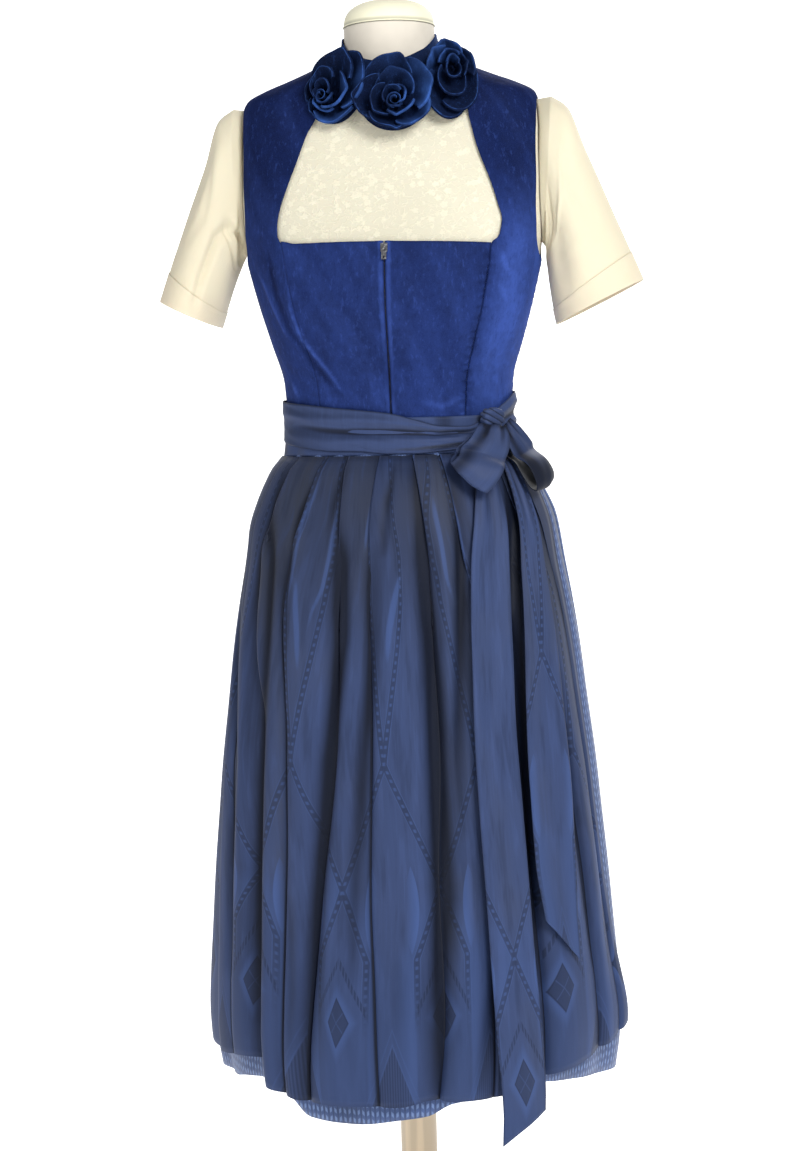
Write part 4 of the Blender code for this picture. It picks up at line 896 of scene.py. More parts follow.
RIGHT_FOLDS = (
    (((-118, 0.05), (-140, 0.18), (-158, 0.3)), 0.02, 0.7),
    (((-104, 0.1), (-128, 0.28), (-150, 0.42)), 0.02, -0.7),
    (((-70, 0.2), (-96, 0.34), (-128, 0.44)), 0.022, 0.5),
    (((-60, 0.03), (-72, 0.35), (-60, 0.75)), 0.055, -0.6),
    (((-95, 0.05), (-88, 0.5), (-98, 0.88)), 0.07, 0.6),
    (((-128, 0.1), (-120, 0.5), (-132, 0.88)), 0.055, -0.8), (((-30, 0.05), (-35, 0.4)), 0.05, 0.5),
    (((-150, 0.3), (-112, 0.62), (-80, 0.7)), 0.04, 0.35),
    (((45, 0.05), (55, 0.4), (48, 0.85)), 0.07, -0.8), (((105, 0.08), (110, 0.5), (100, 0.85)), 0.07, 0.7),
    (((150, 0.1), (145, 0.7)), 0.06, -0.6),
)


def sleeve_point(table, side, turn, along):
    """A point of a sleeve: rings drawn between an outer and an inner point, from the armhole on.

    Formula: middle + cos(turn) x half the ring's length + sin(turn) x its depth; before the first
    ring of the table the point is a soft mix with the same turn of the blouse's armhole."""
    outer_x, outer_z, inner_x, inner_z, depth = columns_of(table, np.maximum(along, table[0][0]))
    cosine, sine = np.cos(turn), np.sin(turn)
    ring = stack((outer_x + inner_x) / 2 + cosine * (outer_x - inner_x) / 2, sine * depth,
                 (outer_z + inner_z) / 2 + cosine * (outer_z - inner_z) / 2)
    middle = (BLOUSE_ARMHOLE.top + BLOUSE_ARMHOLE.foot) / 2
    half = (BLOUSE_ARMHOLE.top - BLOUSE_ARMHOLE.foot) / 2 - 0.0009
    height = middle + half * cosine
    reach = np.where(sine < 0, BLOUSE_ARMHOLE.front_degrees, BLOUSE_ARMHOLE.back_degrees) - 0.6
    start = on_body(90.0 + sine * reach, height, 0.001)
    share = np.clip(along / table[0][0], 0.0, 1.0)[..., None]
    share = share * (1.6 - 0.6 * share)
    return (start * (1 - share) + ring * share) * np.array([side, 1.0, 1.0])


def sleeve_grid(table, side, folds, first, last, rows, out, depth):
    """A sleeve's tube between two places, with its creases, and its flat cloth coordinates."""
    turn, along = np.meshgrid(np.arange(96) * math.tau / 96, np.linspace(first, last, rows))
    points = sleeve_point(table, side, turn, along)
    around = np.roll(points, -1, axis=1) - np.roll(points, 1, axis=1)
    normal = unit(np.cross(np.gradient(points, axis=0), around))
    outward = points - points.mean(axis=1, keepdims=True)
    normal *= np.sign(np.sum(normal * outward, axis=-1, keepdims=True))
    degrees = centred(np.degrees(turn))
    relief = creases(folds, degrees, along, 0.004) * ease(along, 0.0, 0.12) * ease(along, 1.02, 0.86)
    relief += 0.1 * wander(3.0 + side, degrees * 0.05 + 4.0 * along) * ease(along, 0.0, 0.15)
    points = points + normal * (out + depth * relief)[..., None]
    uv = stack(np.linspace(0.0, 0.36, 97), along[:, :1] * 0.24)
    return patch(points, uv, closed=True)


def split_panel(neck, opening, reach, foot, middle, rows, columns, out):
    """Two mirrored halves of a front or back, from centre line and neck edge to side and armhole."""
    heights = spaced(foot, neck[-1][0], rows)
    inner = np.minimum(np.where(heights > neck[0][0], read(neck, heights), 0.0), 90.0 - GAP)
    outer = side_edge(opening, reach, foot, rows)
    degrees, levels = rows_between(stack(heights, inner), outer, columns)
    halves = []
    for angle, level in ((-degrees[:, ::-1], levels[:, ::-1]), (degrees, levels)):
        points = on_body(middle + angle, level, out(angle, level))
        halves.append(patch(points, stack(angle * PER_DEGREE_WAIST, level)))
    return halves


class MakeBlouse(bpy.types.Operator):
    """Build the blouse: lace front, cotton back, two sleeves and their cuffs"""

    bl_idname = "dirndl.blouse"
    bl_label = "Blouse"

    def execute(self, context):
        look = context.scene.dirndl_blouse
        lace = cotton("lace front", look.lace, shade(look.lace, 0.93), lace=True)
        cloth = cotton("blouse cotton", look.cotton, look.shadow)

        def front(degrees, height):
            return 0.0011 + 0.0003 * wander(1.0, degrees * 0.09 + 30.0 * height)

        reaches = BLOUSE_ARMHOLE.front_degrees, BLOUSE_ARMHOLE.back_degrees
        for name, node, neck, reach, middle, finish, area in (
                ("blouse_lace_front", "blouse_front", BLOUSE_NECK, reaches[0], 0.0, lace, 0.118),
                ("blouse_cotton_back", "blouse_back", BLOUSE_NAPE, reaches[1], 180.0, cloth, 0.129)):
            halves = split_panel(neck, BLOUSE_ARMHOLE, reach, BLOUSE_FOOT, middle, 62, 38, front)
            piece = build(name, halves, finish, node=node, thick=0.0006)
        for word, *shape in (("left", LEFT_SLEEVE, -1, LEFT_FOLDS), ("right", RIGHT_SLEEVE, 1, RIGHT_FOLDS)):
            flip = word == "right"
            tube = sleeve_grid(*shape, 0.0, CUFF_START, 72, 0.0005, look.fold)
            sleeve = build("sleeve_" + word, [tube], cloth, node="blouse_sleeve_" + word, thick=0.0006,
                           flip=flip)
            band = sleeve_grid(*shape, CUFF_START - 0.004, 1.0, 24, 0.0013, look.fold)
            cuff = build("cuff_" + word, [band], cloth, node="blouse_cuff_" + word, thick=0.0014, flip=flip)
        return {"FINISHED"}


# ---- bodice ----

# The bodice's folds, as ((degrees, height) ..., width, depth); light falls along their ridges.
DRAG_FOLDS = (
    (((-39.5, 1.242), (-43, 1.167), (-40.5, 1.134), (-34.5, 1.111), (-27.5, 1.082),
     (-18, 1.052)), 0.0042, 1),
    (((-56.5, 1.236), (-58, 1.211), (-55.5, 1.182), (-51, 1.145), (-45, 1.124),
     (-41.5, 1.111)), 0.0045, 0.8),
    (((-61.5, 1.086), (-52.5, 1.063)), 0.005, 0.7),
    (((-48, 1.245), (-50.5, 1.19), (-47, 1.14), (-37, 1.1), (-24, 1.06)), 0.006, -1),
    (((-12, 1.12), (-9, 1.08), (-10, 1.045)), 0.006, 0.5),
    (((44, 1.235), (48, 1.215), (54, 1.2)), 0.005, 0.8), (((44, 1.2), (50, 1.185), (57, 1.17)), 0.006, 0.6),
    (((47, 1.16), (50, 1.11), (49, 1.06)), 0.005, 0.7), (((56, 1.12), (60, 1.08), (58, 1.045)), 0.006, 0.6),
    (((12, 1.06), (26, 1.052), (36, 1.062)), 0.006, 0.5),
    (((95, 1.2), (125, 1.17), (150, 1.16)), 0.008, 0.5),
    (((-95, 1.19), (-130, 1.165), (-155, 1.17)), 0.008, 0.5),
    (((150, 1.08), (178, 1.07), (205, 1.085)), 0.007, 0.7),
    (((155, 1.11), (185, 1.1), (210, 1.12)), 0.008, 0.4),
)


def bodice_relief(degrees, height, pull):
    """The bodice's folds, its seams' furrows with their puckers, and the placket beside the zip."""
    turned = centred(degrees)
    about = np.where(degrees > 180.0, degrees, turned)
    relief = pull * creases(DRAG_FOLDS, about, height, PER_DEGREE)
    relief += 0.0004 * wander(2.0, degrees * 0.1 + 18.0 * height, 6)
    seam = np.where(height < PRINCESS_SEAM[-1][0], read(PRINCESS_SEAM, height), 400.0)
    for edge, strength in ((seam, 0.35 + 0.65 * (turned > 0)), (90.0, 0.6)):
        away = np.abs(np.abs(turned) - edge) * PER_DEGREE
        beat = np.sin(height * math.tau / 0.0105 + 2.5 * wander(5.0, height * 60.0))
        relief -= 0.0011 * strength * np.exp(-(away / 0.0018) ** 2)
        relief += strength * 0.0006 * beat * np.exp(-((away - 0.0045) / 0.0055) ** 2)
    zip_away = np.abs(turned) * PER_DEGREE
    relief += 0.0009 * ease(zip_away, 0.0075, 0.006) - 0.0016 * ease(zip_away, 0.0016, 0.0003)
    return relief


def velvet_panel(name, node, near, far, columns, look, finish, mirror=False, more=(), lift=0.0):
    """One bodice panel between two edges of (height, degrees); a mirrored one lies on the -X side.

    `more` are grids of degrees and heights that join it, and `lift` raises its outer upper corner."""
    degrees, levels = rows_between(near, far, columns)
    across, up = shares(columns), shares(len(near))[:, None]
    levels = levels + lift * ease(across, 0.84, 1.0) * ease(up, 0.9, 1.0)
    if mirror:
        degrees, levels = -degrees[:, ::-1], levels[:, ::-1]
    patches, painted_sheen = [], []
    for angle, level in [(degrees, levels)] + list(more):
        relief = bodice_relief(angle, level, look.pull)
        out = read(BODICE_OUTS, level) + 0.0016 + relief
        patches.append(patch(on_body(angle, level, out), stack(angle * PER_DEGREE, level)))
        turned = centred(angle)
        # painted sheen: lighter on the outer right side below the bust and near the waist, less towards the
        # top, lighter on fold ridges and less in furrows
        share = 0.17 - 0.03 * ease(turned, -10.0, 10.0) + 0.04 * ease(level, 1.12, 1.04)
        share = share + 0.38 * ease(turned, 38.0, 54.0) * ease(turned, 125.0, 80.0) * ease(level, 1.34, 1.22)
        share = share - (0.16 - 0.04 * ease(turned, -10.0, 10.0)) * ease(level, 1.25, 1.35)
        share = share + 0.04 * wander(37.0, turned * 0.22 + 40.0 * level) + 0.4 * ease(relief, 0.0004, 0.0016)
        share = share - 0.16 * ease(relief, -0.0002, -0.0012)
        painted_sheen.append(np.clip(share, 0.0, 1.0))
    piece = build(name, patches, finish, {"painted_sheen": painted_sheen}, node=node, thick=0.0012)
    return piece


class MakeBodice(bpy.types.Operator):
    """Build the bodice: two fronts at the zip, two side fronts with the straps, the back, and the zip"""

    bl_idname = "dirndl.bodice"
    bl_label = "Bodice"

    def execute(self, context):
        look = context.scene.dirndl_bodice
        finish = velvet("bodice velvet", look.velvet, look.sheen, 0.62)
        foot, seam_gap, rows = WAIST + 0.0003, 0.03, 116
        sides = (("right", False, NECKLINE_RIGHT), ("left", True, NECKLINE_LEFT))
        for word, mirror, neckline in sides:
            corner = neckline[0][0]
            low = np.linspace(foot, corner, 84)
            seam = stack(low, read(PRINCESS_SEAM[:-1] + neckline[:1], low) - seam_gap)
            centre = stack(low + (NECKLINE_CENTRE - corner) * ease(low, 1.1, corner), GAP)
            velvet_panel("bodice_front_panel_" + word, "bodice_front_" + word, centre, seam, 46, look, finish,
                         mirror, lift=0.0035 * mirror)
        heights = spaced(foot, STRAP_TOP, rows)
        front_edge = side_edge(BODICE_ARMHOLE, BODICE_ARMHOLE.front_degrees, foot, rows)
        back_edge = side_edge(BODICE_ARMHOLE, BODICE_ARMHOLE.back_degrees, foot, rows)
        for word, mirror, neckline in sides:
            inner = stack(heights, read(PRINCESS_SEAM[:-1] + neckline, heights) + seam_gap)
            inner[-1, 1] = 90.0 - GAP
            velvet_panel("bodice_side_panel_" + word, "bodice_side_front_" + word, inner, front_edge, 54,
                         look, finish, mirror)
        neck = np.where(heights > BACK_NECKLINE[0][0], read(BACK_NECKLINE, heights), 0.0)
        near = stack(heights, np.minimum(neck, 90.0 - GAP))
        degrees, levels = rows_between(near, back_edge, 56)
        velvet_panel("bodice_back_panel", "bodice_back", near + [0.0, 180.0], back_edge + [0.0, 180.0], 56,
                     look, finish, more=[(180.0 - degrees[:, ::-1], levels[:, ::-1])])
        self.make_zip()
        return {"FINISHED"}

    def make_zip(self):
        """The zip's teeth, two rows that mesh, and the finish of its slider and tab."""
        dark = metal("zip teeth metal", (0.012, 0.014, 0.024), (0.06, 0.06, 0.09))
        worn = metal("zip metal", (0.16, 0.16, 0.17), (0.62, 0.62, 0.62))
        heights = np.arange(WAIST + 0.014, 1.229, 0.0022)
        side = np.where(np.arange(heights.size) % 2, 1.0, -1.0)
        centre = on_body(side * 0.18, heights, read(BODICE_OUTS, heights) + 0.001)
        turn, lift = np.meshgrid(np.arange(8) * math.tau / 8, np.linspace(-1.0, 1.0, 6))
        round_off = np.sqrt(np.maximum(1 - lift ** 4, 0.0))
        shape = stack(0.0011 * np.cos(turn) * round_off, 0.0006 * np.sin(turn) * round_off, 0.0008 * lift)
        build("zip_teeth", [patch(point + shape, closed=True) for point in centre], dark)
        for node in ("zip_slider", "zip_pull_tab"):
            piece = frame["nodes"][node]
            piece.data.materials.clear()
            piece.data.materials.append(worn)


# ---- skirt and apron ----

# The skirt's troughs: their degrees at these four heights, their width in degrees, and their depth.
TROUGH_HEIGHTS = (0.25, 0.5, 0.67, 0.85)
SKIRT_TROUGHS = (
    (-76, -77, -78, -80, 4.5, 0.004), (-49, -47, -46, -46, 6, 0.003), (-15, -14, -12, -12, 6, 0.003),
    (24, 23, 22, 22, 6, 0.003), (56, 55, 54, 54, 6, 0.003), (99, 98, 99, 100, 6, 0.01),
    (122, 121, 119, 118, 6.5, 0.012), (145, 142, 141, 140, 6, 0.009), (165, 164, 162, 161, 6.5, 0.013),
    (186, 183, 181, 180, 6, 0.01), (208, 206, 203, 201, 6.5, 0.012), (228, 227, 225, 224, 6, 0.009),
    (247, 247, 246, 245, 6.5, 0.012), (264, 264, 263, 262, 5, 0.006),
)
APRON_LEFT, APRON_RIGHT = -88.0, 84.0
APRON_HEM = (
    (-88, 0.28), (-75, 0.28), (-60, 0.285), (-50, 0.292), (-42.6, 0.294), (-41.2, 0.264), (-33, 0.2594),
    (-27, 0.2551), (-15, 0.2562), (0, 0.2579), (8, 0.2634), (23, 0.2624), (30, 0.2645), (40, 0.2745),
    (58, 0.2818), (70, 0.2876), (84, 0.302),
)
SKIRT_HEM = (
    (-90, 0.24), (-67, 0.2474), (-56, 0.258), (-43, 0.265), (-36, 0.256), (-28, 0.231), (-15, 0.2283),
    (0, 0.2363), (8, 0.241), (15, 0.254), (30, 0.26), (44, 0.264), (48, 0.261), (56, 0.2553), (67, 0.2486),
    (78, 0.242), (90, 0.238), (150, 0.243), (210, 0.244), (270, 0.24),
)

# The apron's fold lines: their degrees at eight heights, how deep the trough at each is, how much
# painted brown sheen the cloth to its right gets, and how brightly a painted blue highlight shows beside it
# near the waist.
FOLD_HEIGHTS = (0.25, 0.38, 0.5, 0.67, 0.83, 0.88, 0.93, 1.0)
Fold = namedtuple("Fold", "degrees depth tone gleam")
FOLDS = (
    Fold((-66, -68, -71, -75, -79, -78.5, -78, -76), 0.009, 0.35, 0),
    Fold((-55, -57, -60, -66, -70, -68, -66, -62), 0.0045, 0.28, 0.1),
    Fold((-42, -43, -44.5, -47.5, -57.5, -57.5, -52.8, -49.5), 0.015, 0.85, 0.5),
    Fold((-33.5, -33, -33, -35.5, -41, -39.2, -33.8, -31.2), 0.008, 0.62, 0.5),
    Fold((-26, -24, -21.5, -17.5, -18, -18, -17, -19), 0.0125, 0.62, 0.2),
    Fold((-5, -5.5, -6.4, -6, -7, -6.3, -5.2, -3.4), 0.007, 0.4, 0.4),
    Fold((11, 13.5, 13, 15, 14, 15, 14.5, 12), 0.015, 0.78, 1),
    Fold((26, 27, 28, 29, 29, 27.5, 27, 25), 0.0045, 0.5, 0.8),
    Fold((43, 43, 42.5, 43, 44, 43, 41, 38), 0.011, 0.55, 0.3),
    Fold((68, 67, 66, 63, 60, 57, 55, 52), 0.009, 0.72, 0.4),
    Fold((78, 78, 77, 75, 72, 70, 68, 66), 0.0045, 0.65, 0),
)


def troughs_from(degrees, height):
    """For each trough of the skirt: how many degrees away it is, its width and its depth."""
    for *places, width, depth in SKIRT_TROUGHS:
        yield centred(degrees - smooth(TROUGH_HEIGHTS, places, height)), width, depth


def skirt_out(degrees, height):
    """How far the skirt's inner face is out: it lies lower under the apron than beside it."""
    under = ease(np.abs(degrees), 88.0, 72.0) * ease(height, 0.985, 0.92)
    out = 0.002 - 0.0165 * under
    for away, width, depth in troughs_from(degrees, height):
        out = out - depth * np.exp(-(away / width) ** 2) * ease(height, 0.96, 0.66)
    return out


def skirt_shade(degrees, height):
    """Painted shade of the skirt, from 0 to 1: how far into a trough or between two gathers its cloth lies.
    """
    painted_shade = 0.9 * ease(gathers(degrees, height), -0.0001, -0.001)
    for away, width, depth in troughs_from(degrees, height):
        deep = min(depth / 0.012, 1.0) * ease(height, 0.98, 0.76)
        painted_shade = painted_shade + deep * np.exp(-((away + 0.15 * width) / (0.6 * width)) ** 2)
    return np.clip(painted_shade, 0.0, 1.0)


def gathers(degrees, height):
    """Small gathers under the waist seam, uneven and fading down the cloth."""
    wave = np.sin(np.radians(degrees * 24.0) + 1.6 * wander(7.0, degrees * 0.12))
    return 0.0015 * wave * ease(height, 1.028, 1.01) * ease(height, 0.7, 0.94)


class MakeSkirt(bpy.types.Operator):
    """Build the skirt: its front under the apron, and its gathered back"""

    bl_idname = "dirndl.skirt"
    bl_label = "Skirt"

    def execute(self, context):
        look = context.scene.dirndl_skirt
        finish = striped("skirt cloth", look.ground, look.rib, shade(look.ground, 0.3))

        def out(degrees, height):
            ripple = 0.001 * wander(9.0, degrees * 0.11 + 1.5 * height, 6) * ease(height, 0.99, 0.8)
            small = 0.15 * look.fold * wander(11.0, degrees * 0.21, 4) * ease(height, 0.9, 0.45)
            small = small * ease(np.abs(degrees), 84.0, 96.0)
            beside = 0.0075 * np.exp(-((degrees - 93.0) / 8.0) ** 2) * ease(height, 0.985, 0.92)
            hem = 0.004 * ease(height, 0.33, 0.26) * ease(np.abs(degrees), 88.0, 80.0)
            folds = ripple + small + beside + hem
            return skirt_out(degrees, height) + 0.0014 + gathers(degrees, height) + folds

        for word, first, last, columns, rows, wide in (
                ("front", -89.99, 89.99, 120, 80, 0.72), ("back", 90.01, 269.99, 260, 90, 0.8)):
            degrees, share = np.meshgrid(np.linspace(first, last, columns), shares(rows))
            foot = read(SKIRT_HEM, degrees)
            height = foot + (WAIST - foot) * share
            cloth = patch(on_skirt(degrees, height, out(degrees, height)), stack(degrees * 0.0042, height))
            # painted shade in the troughs and between the gathers
            piece = build("skirt_cloth_" + word, [cloth], finish, {"painted_shade": [skirt_shade(degrees, height)]},
                          node="skirt_" + word, thick=0.001)
        return {"FINISHED"}


# Blue strips and flames of light on the upper apron, as ((degrees, height) ..., width, strength).
STRIPS = (
    (((-29, 0.995), (-31, 0.95), (-36, 0.89), (-38.6, 0.84), (-38.5, 0.81)), 0.0034, 0.8),
    (((-21, 0.96), (-21.2, 0.93), (-22.4, 0.885), (-24.5, 0.845), (-28, 0.82), (-30.5, 0.78)), 0.004, 0.95),
    (((-5.4, 0.995), (-7, 0.945), (-8.6, 0.905), (-9, 0.88)), 0.0036, 0.85),
    (((-2.4, 0.95), (0, 0.9), (0.5, 0.85)), 0.004, 0.5),
    (((16.6, 0.96), (17.2, 0.93), (18.6, 0.89), (19.6, 0.855), (22, 0.82)), 0.004, 1),
    (((26.6, 0.945), (27.2, 0.92), (27.6, 0.88), (26.4, 0.83)), 0.0026, 1),
    (((-36, 0.865), (-35, 0.83), (-33, 0.79), (-31.5, 0.74)), 0.0052, 1.1),
    (((4, 0.87), (1.6, 0.835), (-0.4, 0.8), (-1.4, 0.75)), 0.0048, 1.1),
    (((-60, 0.9), (-64, 0.85), (-66, 0.78)), 0.004, 0.55),
)

# Soft troughs of the apron between its crisp fold lines, sunk into the cloth and painted as shade, as
# ((degrees, height) ..., width, depth).
TROUGHS = (
    (((-58, 0.995), (-55.5, 0.945), (-51, 0.875), (-48.5, 0.785), (-46.5, 0.645), (-45, 0.48),
     (-44, 0.33)), 0.011, 0.95),
    (((-19, 0.99), (-21, 0.945), (-17.5, 0.88), (-16, 0.79), (-20.5, 0.65), (-22.5, 0.49),
     (-23.5, 0.3)), 0.01, 1),
    (((-4, 0.9), (-6, 0.79), (-9, 0.655), (-11.5, 0.495), (-12, 0.4)), 0.008, 0.8),
    (((10, 0.99), (12, 0.925), (12, 0.875), (13.5, 0.785), (13.5, 0.65), (15, 0.495), (11.5, 0.38),
     (10, 0.27)), 0.012, 1.1),
    (((28, 0.985), (27, 0.945), (25.5, 0.875), (23, 0.785), (20, 0.65), (20, 0.56)), 0.009, 0.95),
    (((57, 1.01), (55, 0.965), (50.5, 0.915), (47, 0.87), (43.4, 0.78), (41.5, 0.645), (40, 0.5),
     (38.5, 0.37)), 0.013, 1.6),
    (((-80, 0.9), (-73, 0.775), (-62.5, 0.635), (-59.5, 0.47), (-58, 0.38)), 0.009, 0.7),
    (((-33, 0.985), (-38, 0.93), (-40, 0.85), (-37, 0.72)), 0.006, 0.6),
    (((2, 0.99), (-1, 0.94), (-2, 0.88)), 0.005, 0.6), (((40, 0.99), (37, 0.93), (36, 0.86)), 0.012, 0.7),
    (((28, 0.42), (24, 0.33), (22, 0.27)), 0.009, 0.55),
    (((-31, 0.5), (-30, 0.38), (-31, 0.3)), 0.007, 0.45),
    (((60, 0.88), (62, 0.7), (64, 0.5), (66, 0.38)), 0.007, 0.6),
)

# Where the woven columns of the apron's cloth and the middles between them hang, at FOLD_HEIGHTS.
WOVEN = (
    (-60, -62, -66, -75, -72, -70, -66, -60), (-46.5, -46, -45.5, -54, -54, -54.5, -48.5, -50),
    (-25, -26, -28, -33, -30.5, -28, -25.5, -26), (-16.5, -16, -14.5, -16.5, -14, -12.5, -12.5, -14),
    (-1, -1, -0.5, -2.5, -1.5, -1.5, -2.5, -3), (13, 13, 13, 11.5, 10, 9.5, 8, 7.5),
    (25, 25, 26, 25.5, 22, 20.5, 19, 19), (49, 49, 48, 44, 40, 36, 33, 32),
    (66, 66, 66, 64, 60, 56, 50, 48),
)
# How much higher the woven figures hang at the hem, by degrees.
WOVEN_LIFT = ((-60, 0.022), (-46, 0.022), (-30, 0.006), (-16, -0.008), (13, 0), (30, 0.006), (49, 0.014))


def woven_place(degrees, height):
    """Flat cloth coordinate across the apron: even steps between the places of WOVEN at each height."""
    lines = [smooth(FOLD_HEIGHTS, row, height) for row in WOVEN]
    beyond = np.minimum(degrees - lines[0], 0.0) + np.maximum(degrees - lines[-1], 0.0)
    across = -BRAID_PERIOD + BRAID_START + 0.004 * beyond
    for left, right in zip(lines[:-1], lines[1:]):
        across = across + BRAID_PERIOD / 2 * np.clip((degrees - left) / (right - left), 0.0, 1.0)
    return across


def apron_grid(columns, rows, step):
    """The apron's pleats: panels between fold lines, each with its left edge over the panel before it.

    Formula: across a panel, with phase from 0 to 1, the cloth lies under the pleat's face by
    depth x (1 - sin(pi x phase^p)^q) low down, and by step x phase near the band.  Near the band the
    two ends of each panel run past the fold line by `turn` degrees, which folds the cloth double.
    Gives the moved degrees, the cloth's own degrees, the heights, the relief, and for the finish its
    painted shade, its painted brown sheen, its painted blue highlights and where its painted lit edges run."""
    share = shares(rows)[:, None]
    phase = shares(columns)[None, :]
    right_edge = (84.0, 82.5, 81.5, 81.0, 81.0, 81.5, 82.0, 83.0)
    ends = (Fold((APRON_LEFT,) * 8, 0.0, 0.6, 0.0),) + FOLDS + (Fold(right_edge, 0.0, 0.5, 0.0),)
    grids = []
    for k, (fold, following) in enumerate(zip(ends[:-1], ends[1:])):
        height = 0.26 + (BAND_FOOT - 0.26) * share
        for _ in range(2):
            left, right = (smooth(FOLD_HEIGHTS, line.degrees, height) for line in (fold, following))
            degrees = left + (right - left) * phase
            foot = read(APRON_HEM, degrees)
            height = foot + (BAND_FOOT - 0.0003 - foot) * share
        last = k == len(FOLDS)
        turn = 2.3 * ease(height, 0.8, 0.95)
        shift = turn * ((not last) * ease(phase, 0.75, 1.0) - (k > 0) * ease(phase, 0.25, 0.0))
        power = 0.5 + 0.16 * ease(height, 0.8, 0.26)
        wave = np.sin(math.pi * phase ** power) ** 0.8
        depth = fold.depth + (following.depth - fold.depth) * ease(phase, 0.1, 0.6)
        blend = ease(height, 0.84, 0.93)
        relief = -depth * (1 - wave) * ease(height, 0.96, 0.64) * (1 - blend)
        relief = relief - step * phase * (not last) * blend
        narrow = 1.0 - 0.3 * ease(height, 0.8, 0.93)
        near_waist = ease(height, 0.78, 0.9)
        # painted shade: dark just left of each fold line, darker towards each panel's right on the upper
        # apron, and beside deep folds
        painted_shade = ease(right - degrees, 1.0 + 0.9 * near_waist, 0.25) * (not last)
        painted_shade = painted_shade + (0.26 + 0.34 * phase) * ease(height, 0.74, 0.92)
        for away, deep, strength in ((degrees - left, fold.depth, 0.12),
                                     (right - degrees, following.depth, 0.7 + 0.3 * near_waist)):
            reach = (0.8 + 190.0 * deep) * narrow
            share_deep = np.minimum(deep / (0.012 - 0.006 * near_waist), 1.0)
            painted_shade = painted_shade + share_deep * strength * np.exp(-(away / reach) ** 2)
        # painted brown sheen on the cloth right of each fold line
        brown = fold.tone + (following.tone - fold.tone) * ease(phase, 0.8, 1.0)
        # painted blue highlight beside each fold line near the waist
        place = (degrees - left - 0.4) / (2.2 + 1.5 * wander(40.0 + k, height * 7.0, 3))
        gleam = fold.gleam * np.exp(-(place - 0.8) ** 2 * 3.0) * ease(height, 0.72, 0.8)
        gleam = gleam * np.clip(0.55 + 0.6 * wander(50.0 + k, height * 16.0, 3), 0.0, 1.0)
        # painted highlight along each panel's left edge
        edge = ease(degrees - left, 0.55, 0.05) * (k > 0) * (0.25 + 0.45 * near_waist)
        moved = degrees + shift
        grids.append(np.broadcast_arrays(moved, degrees, height, relief, painted_shade, brown, gleam, edge))
    return [np.concatenate(part, axis=1) for part in zip(*grids)]


class MakeApron(bpy.types.Operator):
    """Build the pleated apron and its band"""

    bl_idname = "dirndl.apron"
    bl_label = "Apron"

    def execute(self, context):
        look = context.scene.dirndl_apron
        threads = look.figure, look.outline
        face = shade(look.warp, 0.95), shade(look.weft, 0.98), *threads
        finish = taffeta("apron cloth", face, pattern=0.0, folded=True)
        plain = taffeta("apron band", (look.warp, look.weft, *threads))
        moved, cloth, height, relief, painted_shade, brown, gleam, edge = apron_grid(36, 96, look.step)
        corner = 0.01 * ease(moved, 66.0, APRON_RIGHT) * ease(height, 0.42, 0.31)
        base = 0.0063 + 0.002 * ease(height, 0.99, 0.9) + corner
        base = base - 0.004 * ease(moved, 72.0, 80.0) * ease(height, 0.4, 0.5)
        ripple = 0.0009 * wander(13.0, cloth * 0.16 + 2.2 * height, 6) * ease(height, 0.97, 0.8)
        soft = creases(TROUGHS, cloth, height, PER_DEGREE_HIP)
        relief = np.maximum(relief - 0.006 * soft * ease(height, 0.99, 0.9), -0.016)
        points = on_skirt(moved, height, base + relief + ripple + look.step * 0.6 * ease(height, 0.84, 0.93))
        # painted brown sheen from the folds, less towards the hem and more near the band, with random spread
        shot = brown + 0.16 * wander(17.0, cloth * 0.1 + 1.6 * height) - 0.3 * ease(height, 0.55, 0.32)
        shot = np.clip(shot + 0.14 * ease(height, 0.78, 0.88), 0.0, 1.0)
        # painted blue highlights from the strips and lit edges; painted shade in the soft troughs, less under
        # a highlight
        gleam = np.clip(0.35 * gleam + 0.9 * creases(STRIPS, cloth, height, PER_DEGREE_HIP) + edge, 0.0, 1.0)
        painted_shade = np.clip(painted_shade + soft, 0.0, 1.0) * (1.0 - 0.8 * gleam)
        lift = read(WOVEN_LIFT, cloth) * ease(height, 0.56, 0.45)
        pleats = patch(points, stack(woven_place(cloth, height), height - lift))
        piece = build("apron_cloth", [pleats], finish, {"shot": [shot], "painted_shade": [painted_shade], "gleam": [gleam]},
                      node="apron", thick=0.0007, weld=False)
        degrees, level = np.meshgrid(np.linspace(APRON_LEFT, APRON_RIGHT, 160),
                                     np.linspace(BAND_FOOT, BAND_TOP, 14))
        roll = 0.0004 * np.sin(math.pi * (level - BAND_FOOT) / (BAND_TOP - BAND_FOOT)) ** 0.5
        cloth = patch(on_skirt(degrees, level, 0.0056 + roll), stack(degrees * PER_DEGREE_WAIST, level))
        # the band's blue and brown differ at random here
        band = build("apron_waistband", [cloth], plain, {"shot": [0.5 + 0.4 * wander(19.0, degrees * 0.1)]},
                     node="apron_band", thick=0.0009)
        return {"FINISHED"}


# ---- tie and bow ----

